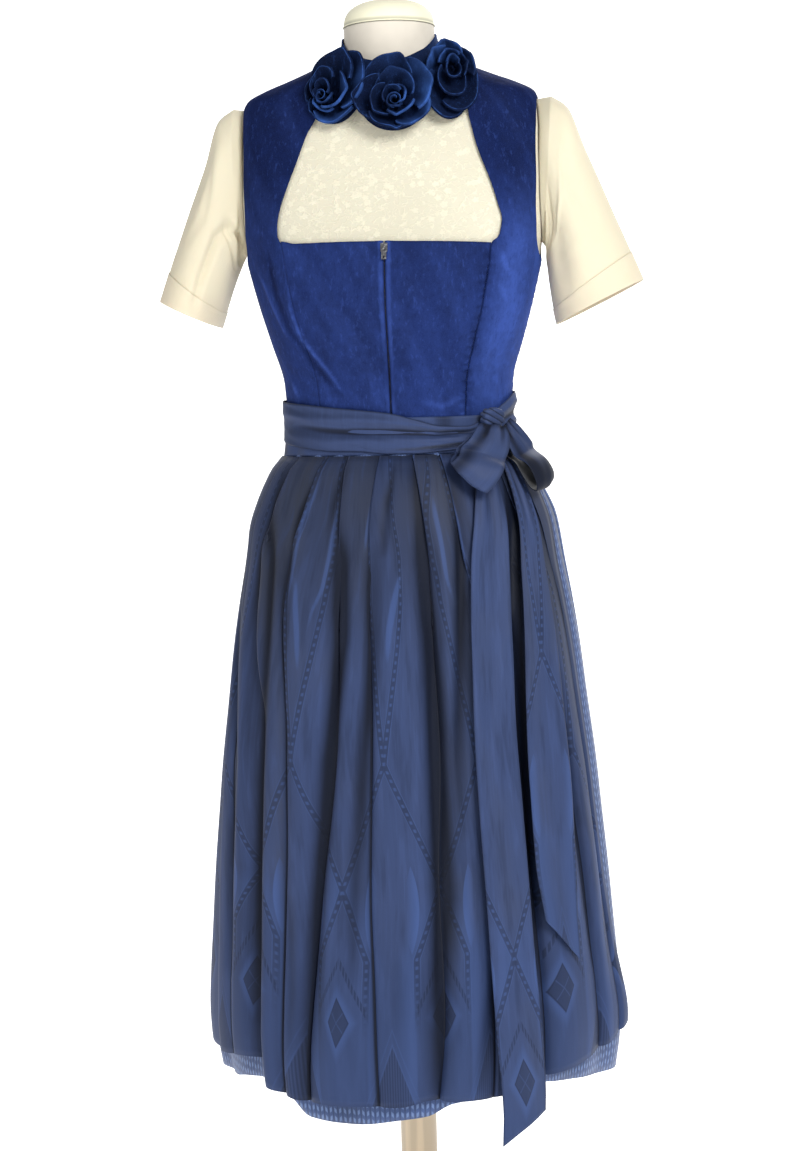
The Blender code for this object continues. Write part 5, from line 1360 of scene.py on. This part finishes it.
# The tie round the waist: rows of (degrees, lower edge, upper edge, distance out).
SASH = (
    (-90, 1.016, 1.063, 0.0067), (-50, 1.006, 1.058, 0.0067), (-32, 1.002, 1.054, 0.0067),
    (-16, 1.001, 1.05, 0.0067), (0, 0.9975, 1.045, 0.0067), (12, 0.9975, 1.037, 0.0067),
    (25, 1, 1.029, 0.0068), (38, 1.002, 1.028, 0.0069), (52, 1.013, 1.04, 0.0069),
    (66, 1.022, 1.054, 0.0068), (82, 1.027, 1.065, 0.0067), (100, 1.022, 1.067, 0.005),
    (135, 1.01, 1.064, 0.0044), (180, 1.006, 1.062, 0.0044), (225, 1.008, 1.062, 0.0044),
    (270, 1.016, 1.063, 0.0067),
)
# Folds along the tie, as ((degrees, share of its height) ..., width, depth).
SASH_FOLDS = (
    (((-88, 0.75), (-40, 0.7), (0, 0.8), (24, 0.92)), 0.1, 1),
    (((-70, 0.3), (-30, 0.22), (0, 0.3), (28, 0.52), (44, 0.62)), 0.11, 1),
    (((-60, 0.5), (-20, 0.45), (6, 0.55), (30, 0.74), (45, 0.8)), 0.09, -1.1),
    (((-14, 0.1), (8, 0.16), (30, 0.3), (46, 0.45)), 0.08, 0.9),
    (((4, 0.05), (26, 0.14), (46, 0.25)), 0.07, -0.8),
    (((56, 0.6), (80, 0.75), (120, 0.7), (180, 0.62)), 0.12, 1),
    (((57, 0.35), (84, 0.4), (130, 0.36), (200, 0.3)), 0.12, -0.9),
    (((58, 0.15), (90, 0.16), (140, 0.2), (190, 0.24)), 0.1, 0.8),
    (((190, 0.75), (230, 0.66), (270, 0.72)), 0.11, 0.9),
    (((170, 0.45), (220, 0.48), (265, 0.5)), 0.1, -0.8), (((205, 0.2), (240, 0.26), (268, 0.28)), 0.1, 0.8),
)
# The middle line of each loop: rows of (degrees, height, distance out, half width of the ribbon, and
# the way its width lies: across and up).
FRONT_LOOP = (
    (49, 1.029, 0.025, 0.019, 1, -0.1), (46.5, 1.0175, 0.0325, 0.024, 0.98, -0.2),
    (42.5, 1.003, 0.0385, 0.0265, 0.95, -0.35), (37, 0.987, 0.0395, 0.027, 0.85, -0.55),
    (32.5, 0.9745, 0.036, 0.027, 0.72, -0.72), (30.5, 0.969, 0.0295, 0.027, 0.68, -0.75),
    (32.5, 0.9755, 0.024, 0.027, 0.72, -0.72), (37, 0.987, 0.0226, 0.026, 0.85, -0.55),
    (42, 1.002, 0.0212, 0.023, 0.95, -0.35), (46, 1.0145, 0.019, 0.018, 0.98, -0.2),
    (48.5, 1.0231, 0.0163, 0.012, 1, -0.15),
)
SIDE_LOOP = (
    (60.5, 1.03, 0.019, 0.009, 0.8, 0.6), (62, 1.017, 0.026, 0.016, 0.9, 0.4),
    (65, 1, 0.032, 0.021, 0.93, 0.3), (67.5, 0.982, 0.035, 0.024, 0.95, 0.25),
    (68.5, 0.966, 0.034, 0.025, 0.95, 0.25), (68.5, 0.956, 0.028, 0.025, 0.95, 0.25),
    (68, 0.96, 0.0225, 0.025, 0.95, 0.25), (66, 0.975, 0.0208, 0.023, 0.95, 0.25),
    (64, 0.997, 0.0195, 0.018, 0.93, 0.3), (60.8, 1.021, 0.0162, 0.01, 0.85, 0.5),
)
# The hanging ends: rows of (height, left edge, right edge) in degrees; the first row is the slanting foot.
LONG_TAIL = (
    (0.206, 29.5, 30.5), (0.24, 28, 41), (0.33, 26, 39.3), (0.48, 25, 38.2), (0.64, 24.2, 38),
    (0.78, 25.5, 40), (0.87, 28, 43), (0.94, 33, 46), (0.985, 39, 48), (1.016, 43.5, 48.5),
)
SHORT_TAIL = (
    (0.404, 51.5, 52.5), (0.46, 42.5, 55), (0.53, 40.6, 56.5), (0.62, 40.8, 58), (0.71, 42.5, 59),
    (0.86, 48, 61), (0.94, 52, 62), (0.985, 53, 61), (1.016, 52.5, 58.5),
)
TAIL_OUTS = ((0.2, 0.015), (0.88, 0.0145), (0.94, 0.0124), (0.985, 0.0106), (1.016, 0.0091))
KNOT_HEIGHT, KNOT_DEGREES = 1.037, 51.5
KNOT_HALF = (0.016, 0.0085, 0.0115)        # along the waist, outwards, upwards


def sheen_and_shade_by_slope(points):
    """Painted sheen and shade by slope: high, for brown sheen, where the cloth turns down and right, and low,
    for dark shade, where it turns up and left.
    """
    normal = unit(np.cross(np.gradient(points, axis=1), np.gradient(points, axis=0)))
    return np.clip(0.45 + 0.75 * (normal @ unit(np.array((0.55, 0.0, -0.8)))), 0.0, 1.0)


def knot_axes():
    """The knot's foot on the sash, and its axes along the waist, outwards and up."""
    out = level_normal(skirt_point, KNOT_DEGREES, KNOT_HEIGHT)
    point = skirt_point(KNOT_DEGREES, KNOT_HEIGHT) + out * (0.0069 + 0.0012 + 0.0006)
    return point, np.stack([np.cross((0.0, 0.0, 1.0), out), out, (0.0, 0.0, 1.0)])


def knot_grid():
    """The knot: a rounded block whose cloth wraps it in slanting folds.

    Formula: a ball with power 3, its radius raised by |sin| folds that run round it on a slant. Gives the
    points and the painted shade in the folds' troughs."""
    turn, lift = np.meshgrid(np.arange(120) * math.tau / 120, np.linspace(-math.pi / 2, math.pi / 2, 72))
    x, y, z = np.sin(lift), np.cos(lift) * np.cos(turn), np.cos(lift) * np.sin(turn)
    swell = (np.abs(x) ** 3 + np.abs(y) ** 3 + np.abs(z) ** 3) ** (-1 / 3)
    fold = np.abs(np.sin(3.2 * x * swell + 4.2 * z + 0.9 * np.sin(turn + 1.0)))
    swell = swell * (0.84 + 0.18 * fold ** 0.7 * np.cos(lift) ** 0.5)
    own = stack(x * swell, y * swell + 1.0, z * swell) * KNOT_HALF
    foot, axes = knot_axes()
    return foot + own @ axes, ease(fold, 0.42, 0.05)


def loop_grid(table, steps, columns, seed):
    """A bow's loop: the ribbon's middle line, its width spread across it, and folds from the knot; also its
    painted shade.
    """
    places, at = shares(len(table)), shares(steps)
    degrees, height, out, half, way_across, way_up = (smooth(places, column, at) for column in zip(*table))
    outward = level_normal(skirt_point, degrees, height)
    line = skirt_point(degrees, height) + outward * out[:, None]
    upward = unit(skirt_point(degrees, height + 0.005) - skirt_point(degrees, height - 0.005))
    waist = np.cross([0.0, 0.0, 1.0], outward)
    way = unit(waist * way_across[:, None] + upward * way_up[:, None])
    normal = unit(np.cross(np.gradient(line, axis=0), way))
    width, place = np.meshgrid(np.linspace(-1.0, 1.0, columns), at)
    near = np.minimum(place, 1 - place)
    quarter = steps // 4
    swell = math.copysign(0.0042, normal[quarter] @ outward[quarter])
    swell = swell * (1 - width ** 2) * ease(near, 0.02, 0.3)
    fold = 0.0013 * np.sin(width * (6.5 + seed) + 2.0 * np.sin(3.0 * place)) * ease(near, 0.26, 0.03)
    ripple = 0.0005 * wander(23.0 + seed, width * 2.0 + 5.0 * place)
    points = line[:, None] + (width * half[:, None])[..., None] * way[:, None]
    points = points + (swell + fold + ripple)[..., None] * normal[:, None]
    length_along = np.concatenate(([0.0], np.cumsum(np.linalg.norm(np.diff(line, axis=0), axis=1))))
    # painted shade: over most of the side loop, in furrows, near the knot, along one edge and in a band
    # beside the other
    painted_shade = 0.95 * seed * ease(place, 0.2, 0.4) + 0.6 * ease(fold, -0.0003, -0.0012)
    painted_shade = painted_shade + 0.6 * ease(near, 0.06, 0.0) + 0.5 * ease(width, 0.8, 1.0)
    painted_shade = painted_shade + 0.8 * np.exp(-((width + 0.72 - 0.25 * ease(near, 0.4, 0.05)) / 0.3) ** 2)
    return patch(points, stack(width * 0.027, length_along[:, None])), np.clip(painted_shade, 0.0, 1.0)


def tail_grid(table, rows, columns, long_one, across):
    """A hanging end of the tie: its two edges down the apron, a slanting foot, and long soft folds.

    `across` is where its left edge lies across the woven pattern. Also gives painted shade under the bow at
    its top and along its edges."""
    share, width = shares(rows)[:, None], shares(columns)[None, :]
    tip, slant = table[0][0], table[1][0] - table[0][0]
    foot = tip + slant * (width if long_one else 1 - width)
    height = foot + (table[-1][0] - foot) * share
    left, right = columns_of(table[1:], height)
    degrees = left + (right - left) * width
    gathered = ease(height, 0.86, 1.0)
    seed = 1.0 if long_one else 2.0
    out = read(TAIL_OUTS, height) + 0.0012 + 0.001 * np.sin(width * math.tau + seed) * ease(height, 0.3, 0.7)
    out = out + 0.0016 * np.sin(width * (11.0 + 2 * seed) + 3.0 * height * 6.0) * gathered
    out = out + 0.0012 * wander(29.0 + seed, width * 2.2 + 3.0 * height) * (1 - gathered)
    # painted shade under the bow at the top and along both edges
    painted_shade = 0.5 * ease(height, 0.9, 0.965) * (0.6 + 0.6 * np.sin(width * (11.0 + 2 * seed) + 2.0))
    painted_shade = painted_shade + 0.35 * ease(np.minimum(width, 1 - width), 0.045, 0.01)
    cloth = patch(on_skirt(degrees, height, out), stack(across + width * 0.062, height))
    return cloth, np.clip(painted_shade, 0.0, 1.0)


class MakeBow(bpy.types.Operator):
    """Build the tie round the waist with its knot, two loops and two hanging ends"""

    bl_idname = "dirndl.bow"
    bl_label = "Bow"

    def execute(self, context):
        look = context.scene.dirndl_apron
        cloths = (look.warp, look.weft, look.figure, look.outline)
        plain = taffeta("tie cloth", cloths, folded=True)
        degrees, share = np.meshgrid(np.arange(-90.0, 270.0, 1.25), shares(40))
        foot, top, out = columns_of(SASH, degrees)
        folds = creases(SASH_FOLDS, degrees, share, 0.006)
        relief = 0.0026 * folds + 0.0003 * wander(31.0, degrees * 0.08 + 9.0 * share)
        edge = np.minimum(share, 1 - share)
        out = out + 0.0013 + relief * ease(edge, 0.0, 0.1) - 0.0006 * ease(edge, 0.03, 0.0)
        points = on_skirt(degrees, foot + (top - foot) * share, out)
        # painted shade in the sash's furrows and along its edges; painted sheen and shade by slope below
        painted_shade = np.clip(0.9 * ease(folds, -0.1, -0.75) + 0.6 * ease(edge, 0.06, 0.0), 0.0, 1.0)
        cloth = patch(points, closing_uv(degrees, share, PER_DEGREE_WAIST, 0.05), closed=True)
        wrap = build("tie_wrap", [cloth], plain, {"shot": [sheen_and_shade_by_slope(points)], "painted_shade": [painted_shade]},
                     node="sash_wrap", thick=0.001)
        # the knot: painted shade in its folds' troughs, and painted sheen and shade by slope
        knot, painted_shade = knot_grid()
        build("tie_knot", [patch(knot, closed=True)], plain,
              {"shot": [sheen_and_shade_by_slope(knot)], "painted_shade": [painted_shade]}, node="sash_knot")
        # painted brown sheen: more on the front loop than on the side loop, added to painted sheen and shade
        # by slope
        for word, table, seed, brown in (("front", FRONT_LOOP, 0.0, 0.56), ("side", SIDE_LOOP, 1.0, 0.18)):
            cloth, painted_shade = loop_grid(table, 120, 36, seed)
            shot = brown + 0.25 * sheen_and_shade_by_slope(cloth.points)
            piece = build("bow_ribbon_" + word, [cloth], plain, {"shot": [shot], "painted_shade": [painted_shade]},
                          node="bow_loop_" + word, thick=0.0009, flip=True)
        for word, table, pattern, size, middle in (
                ("long", LONG_TAIL, -0.083, 0.8, BRAID_START + BRAID_PERIOD / 2),
                ("short", SHORT_TAIL, 0.118, 0.6, BRAID_START)):
            cloth, painted_shade = tail_grid(table, 150, 36, word == "long", middle - 0.031)
            finish = taffeta("tie end " + word, cloths, pattern=pattern, folded=True)
            # painted sheen and shade by slope
            shot = sheen_and_shade_by_slope(cloth.points)
            piece = build("tie_end_" + word, [cloth], finish, {"shot": [shot], "painted_shade": [painted_shade]},
                          node="sash_tail_" + word, thick=0.0009)
        return {"FINISHED"}


# ---- rose collar ----

# The neck band: rows of (degrees, lower edge, upper edge).
COLLAR = (
    (-180, 1.468, 1.499), (-135, 1.467, 1.498), (-90, 1.465, 1.49), (-45, 1.442, 1.468), (0, 1.425, 1.454),
    (45, 1.442, 1.468), (90, 1.465, 1.49), (135, 1.467, 1.498), (180, 1.468, 1.499),
)
# A rose: the middle of its foot, the way it faces, its half sizes, where its bud lies off the middle,
# how deep it is, the turn of its first petal, where the light falls on it, whether its bud shows, and
# how long a strip it is rolled from.
Rose = namedtuple("Rose", "name x y z turned tilt half_width half_height bud_side bud_up depth twist light"
                          " bud strip")
ROSES = (
    Rose("left", -0.052, -0.0595, 1.424, -20.0, 16.0, 0.039, 0.049, -0.013, -0.017, 0.027, 70.0, -1.0,
         True, 0.49),
    Rose("centre", 0.0108, -0.0729, 1.411, 2.0, 12.0, 0.0485, 0.047, 0.003, -0.013, 0.03, 15.0, 0.0,
         True, 0.57),
    Rose("right", 0.0727, -0.0557, 1.425, 14.0, 14.0, 0.0335, 0.049, 0.004, 0.016, 0.026, 75.0, 1.9,
         False, 0.41),
)
Petals = namedtuple("Petals", "count reach height span curl start")


def rose_axes(rose):
    """The middle of a rose's foot, and its axes: sideways, up, and out of it."""
    turned, tilt = math.radians(rose.turned), math.radians(rose.tilt)
    out = np.array([math.sin(turned) * math.cos(tilt), -math.cos(turned) * math.cos(tilt), math.sin(tilt)])
    side = unit(np.cross([0.0, 0.0, 1.0], out))
    return np.array([rose.x, rose.y, rose.z]), side, np.cross(out, side), out


def rose_point(rose, reach, turn, height):
    """Points at a distance from the middle of a rose's bud in a direction, and at a height above its foot."""
    foot, side, up, out = rose_axes(rose)
    across, along = rose.bud_side + reach * np.cos(turn), rose.bud_up + reach * np.sin(turn)
    return foot + across[..., None] * side + along[..., None] * up + height[..., None] * out


def rim_distance(rose, angle):
    """Distance from a rose's bud to the edge of its oval in a direction, the root of a square equation."""
    x, y = np.cos(angle) / rose.half_width, np.sin(angle) / rose.half_height
    p, q = rose.bud_side / rose.half_width, rose.bud_up / rose.half_height
    square, cross, rest = x * x + y * y, p * x + q * y, p * p + q * q - 1.0
    return (-cross + np.sqrt(np.maximum(cross * cross - square * rest, 1e-9))) / square


def petal_grid(rose, ring, angle, seed):
    """One petal: a bowl that lies low beside the bud and stands up to its rolled rim.

    Formula: about the bud, distance = foot + (reach - foot) x t^0.85 and height = h x (0.12 + 0.88 t^1.7),
    with t from foot to rim; one side reaches out further and lies lower, so that petals lap."""
    across, even = np.meshgrid(np.linspace(-1.0, 1.0, 29), shares(24))
    rise = 1.0 - (1.0 - even) ** 1.5
    body = np.clip(rise / 0.88, 0.0, 1.0)
    turn = angle + ring.span * across * (0.55 + 0.45 * body) + 0.06 * np.sin(4.0 * rise + seed)
    foot = 0.0025 + 0.006 * ring.reach
    tip = 1.0 - 0.17 * np.abs(across) ** 2.2 + 0.05 * np.sin(2.3 * across + seed * 1.7) + 0.08 * across
    tip = tip + 0.08 * np.exp(-((across - 0.5 * math.sin(seed * 2.0)) / 0.16) ** 2)
    tip = tip + 0.07 * math.sin(seed * 5.0)
    far = rim_distance(rose, turn) * np.minimum(ring.reach * tip, 1.02) - 0.0025
    reach = foot + (far - foot) * body ** 0.85
    height = ring.height * rose.depth * (0.12 + 0.88 * body ** 1.7) * (1 - 0.12 * across ** 2)
    height = height + (0.002 * np.sin(3.6 * across + seed) - 0.0028 * across) * body
    folds = 0.0011 * np.sin(7.0 * across + 3.0 * seed + 1.5 * np.sin(3.0 * rise)) * body * (1.2 - body)
    height = height + folds * 1.6
    roll = np.clip((rise - 0.88) / 0.12, 0.0, 1.0) * ring.curl * 1.25
    size = 0.0011 + 0.0012 * ring.reach
    reach = reach + size * np.sin(roll) * 0.8
    height = height + size * (np.cos(roll) - 1.0) * 0.9
    points = rose_point(rose, reach, turn, 0.0015 + height)
    # painted sheen, strongest where a petal faces the rose's light and on its fold ridges
    lit = 0.5 + 0.5 * np.cos(turn - rose.light)
    painted_sheen = (0.5 + 0.3 * math.sin(seed * 3.1)) * ease(body, 0.35, 1.05) * lit ** 1.5
    painted_sheen = painted_sheen * (0.75 + 0.4 * wander(seed, across * 3.0 + 3.0 * rise, 3)) + 90.0 * folds * lit
    uv = stack(across * ring.span * ring.reach * 0.045, rise * ring.reach * 0.05)
    # the height share also serves as the rim value, which paints a highlight line near the petal's roll
    return patch(points, uv), np.clip(painted_sheen, 0.0, 1.0), rise


def bud_grid(rose):
    """The bud: a strip rolled up one and a half times, its rim higher in the middle."""
    share, rise = np.meshgrid(shares(110), shares(14), indexing="ij")
    turn = share * 1.7 * math.tau + math.radians(rose.twist)
    radius = 0.0012 + 0.0066 * share ** 0.9
    radius = radius * (0.72 + 0.42 * rise) + 0.001 * ease(rise, 0.88, 1.0)
    height = rose.depth * (1.02 - 0.16 * share) * rise - 0.0012 * ease(rise, 0.9, 1.0)
    # painted sheen towards the top of the bud on one side; painted highlight near its rim
    painted_sheen = 0.4 * ease(rise, 0.7, 1.0) * (0.6 + 0.4 * np.cos(turn - 0.7))
    strip = patch(rose_point(rose, radius, turn, 0.0015 + height), stack(share * 0.05, rise * 0.03))
    return strip, painted_sheen, 0.9 * ease(rise, 0.8, 0.99)


def rose_parts(rose, petals):
    """A rose's bud and its three rings of petals, each ring wider and flatter than the one inside it."""
    rings = (
        Petals(2 + rose.bud, 0.34, 1.0, 1.25 + 0.5 * (not rose.bud), 1.4, 0.0),
        Petals(3, 0.62, 0.9, 1.1, 1.7, 0.9), Petals(petals + 1, 0.97, 0.66, 0.85, 2.0, 0.25),
    )
    turn, share = np.meshgrid(np.arange(48) * math.tau / 48, np.linspace(0.0, 0.86, 6))
    cup = rose_point(rose, rim_distance(rose, turn) * share, turn, 0.001 + 0.0016 * share ** 2)
    parts = [(patch(cup, closed=True), 0.0, 0.0)]
    if rose.bud:
        parts.append(bud_grid(rose))
    for number, ring in enumerate(rings):
        for k in range(ring.count):
            seed = 2.3 * k + 5.1 * number + rose.twist
            share = (k + 0.14 * math.sin(seed)) / ring.count
            angle = math.radians(rose.twist) + ring.start + share * math.tau
            parts.append(petal_grid(rose, ring, angle, seed))
    return parts


class MakeCollar(bpy.types.Operator):
    """Build the velvet band round the neck and its three roses"""

    bl_idname = "dirndl.collar"
    bl_label = "Rose collar"

    def execute(self, context):
        look = context.scene.dirndl_collar
        finish = velvet("rose velvet", look.velvet, look.edge, 0.6, rim=True)
        degrees, share = np.meshgrid(np.arange(-180.0, 180.0, 2.0), shares(18))
        foot, top = columns_of(COLLAR, degrees)
        height = foot + (top - foot) * share
        out = 0.0022 + 0.0012 * np.sin(math.pi * share) ** 0.5 + 0.0005 * np.sin(share * 9.0 + degrees * 0.03)
        points = body_point(degrees, height) + level_normal(body_point, degrees, height) * out[..., None]
        cloth = patch(points, closing_uv(degrees, share, 0.00095, 0.03), closed=True)
        # painted sheen on the upper right and back of the band, and a painted highlight along both its edges
        side = ease(np.abs(degrees), 60.0, 95.0)
        painted_sheen = 0.08 + 0.35 * side * (degrees > 0) * ease(share, 0.4, 1.0)
        rim = 0.9 * ease(np.minimum(share, 1 - share), 0.09, 0.02)
        band = build("neck_band", [cloth], finish, {"painted_sheen": [painted_sheen], "rim": [rim]}, node="rose_band",
                     thick=0.0012)
        for rose in ROSES:
            patches, painted_sheen, rim = zip(*rose_parts(rose, look.petals))
            piece = build("velvet_rose_" + rose.name, patches, finish, {"painted_sheen": painted_sheen, "rim": rim},
                          node="rose_" + rose.name, thick=0.0007, weld=False)
        return {"FINISHED"}


# ---- stage ----


class MakeStage(bpy.types.Operator):
    """Build the seamless floor, the lights and the camera"""

    bl_idname = "dirndl.stage"
    bl_label = "Stage"

    def execute(self, context):
        look = context.scene.dirndl_stage
        self.make_floor(look)
        self.make_lights(context, look)
        self.make_camera(context)
        return {"FINISHED"}

    def make_floor(self, look):
        """A floor that curves up into a wall behind the form."""
        turn = np.radians(np.linspace(0.0, 90.0, 16))
        depth = np.concatenate([[-9.0, 0.0, 4.0], 8.5 + 1.5 * np.sin(turn), [10.0]])
        rise = np.concatenate([[0.0, 0.0, 0.0], 1.5 * (1 - np.cos(turn)), [12.0]]) - 0.0005
        points = stack(np.linspace(-10.0, 10.0, 5), depth[:, None], rise[:, None])
        sweep = build("seamless_floor", [patch(points)], floor_finish("floor", look.floor))

    def make_lights(self, context, look):
        """An even sky, a soft key from the right, a weaker fill from the left, and one from behind."""
        world = bpy.data.worlds.new("sky")
        world.use_nodes = True
        ground = world.node_tree.nodes["Background"]
        ground.inputs["Color"].default_value = (1.0, 1.0, 1.0, 1.0)
        ground.inputs["Strength"].default_value = look.sky
        context.scene.world = world
        for name, place, size, power in (("key", (1.5, -2.2, 2.5), 1.2, look.key),
                                         ("fill", (-1.9, -2.4, 1.6), 1.8, look.key * 0.3),
                                         ("rim", (0.6, 2.2, 2.6), 1.5, look.key * 0.5)):
            lamp = bpy.data.lights.new(name, "AREA")
            lamp.energy, lamp.size = power, size
            light = bpy.data.objects.new(name, lamp)
            light.location = place
            aim = Vector((0.0, 0.0, 0.95)) - Vector(place)
            light.rotation_euler = aim.to_track_quat("-Z", "Y").to_euler()
            context.scene.collection.objects.link(light)

    def make_camera(self, context):
        """A long lens, a little to the right of the front, that looks slightly down."""
        focal, low, aside = 2060.0, 192.5, 3.9     # in pixels of a frame 1151 high
        distance, height = 2.5, 1.08
        swing, dip, roll, pan = math.radians(6.0), math.atan(low / focal), math.radians(1.56), aside / focal
        right = Vector((math.cos(swing), math.sin(swing), 0.0))
        level = Vector((-math.sin(swing), math.cos(swing), 0.0))
        ahead = level * math.cos(dip) - Vector((0.0, 0.0, math.sin(dip)))
        up = right.cross(ahead)
        across = right * math.cos(roll) - up * math.sin(roll)
        ahead = (ahead - across * pan).normalized()
        top = right * math.sin(roll) + up * math.cos(roll)
        across = ahead.cross(top).normalized()
        top = across.cross(ahead)
        lens = bpy.data.cameras.new("camera")
        lens.sensor_fit, lens.sensor_height, lens.lens = "VERTICAL", 36.0, 64.43
        lens.clip_end = 50.0
        camera = bpy.data.objects.new("camera", lens)
        camera.matrix_world = Matrix((across, top, -ahead)).transposed().to_4x4()
        camera.location = (distance * math.sin(swing), -distance * math.cos(swing), height)
        context.scene.collection.objects.link(camera)
        context.scene.camera = camera
        context.scene.render.resolution_x, context.scene.render.resolution_y = 800, 1151
        context.scene.view_settings.view_transform = "Standard"


class OutfitPanel(bpy.types.Panel):
    """Settings and buttons of the outfit in the sidebar"""

    bl_idname = "VIEW3D_PT_dirndl"
    bl_label = "Dirndl outfit"
    bl_space_type = "VIEW_3D"
    bl_region_type = "UI"
    bl_category = "Dirndl"

    def draw(self, context):
        for name, settings, operator in PARTS:
            box = self.layout.box()
            group = getattr(context.scene, name)
            for key in settings.__annotations__:
                box.prop(group, key)
            box.operator(operator.bl_idname)


PARTS = (
    ("dirndl_form", FormSettings, MakeForm), ("dirndl_blouse", BlouseSettings, MakeBlouse),
    ("dirndl_bodice", BodiceSettings, MakeBodice), ("dirndl_skirt", SkirtSettings, MakeSkirt),
    ("dirndl_apron", ApronSettings, MakeApron), ("dirndl_apron", ApronSettings, MakeBow),
    ("dirndl_collar", CollarSettings, MakeCollar), ("dirndl_stage", StageSettings, MakeStage),
)


def register():
    """Register the settings, the operators and the panel."""
    for name, settings, operator in PARTS:
        if not hasattr(bpy.types.Scene, name):
            bpy.utils.register_class(settings)
            setattr(bpy.types.Scene, name, PointerProperty(type=settings))
        bpy.utils.register_class(operator)
    bpy.utils.register_class(OutfitPanel)


def unregister():
    """Remove what register added."""
    bpy.utils.unregister_class(OutfitPanel)
    for name, settings, operator in reversed(PARTS):
        bpy.utils.unregister_class(operator)
        if hasattr(bpy.types.Scene, name):
            delattr(bpy.types.Scene, name)
            bpy.utils.unregister_class(settings)


def main():
    """Build the outfit and its stage."""
    register()
    for _, _, operator in PARTS:
        group, action = operator.bl_idname.split(".")
        getattr(getattr(bpy.ops, group), action)()


if __name__ == "__main__":
    main()
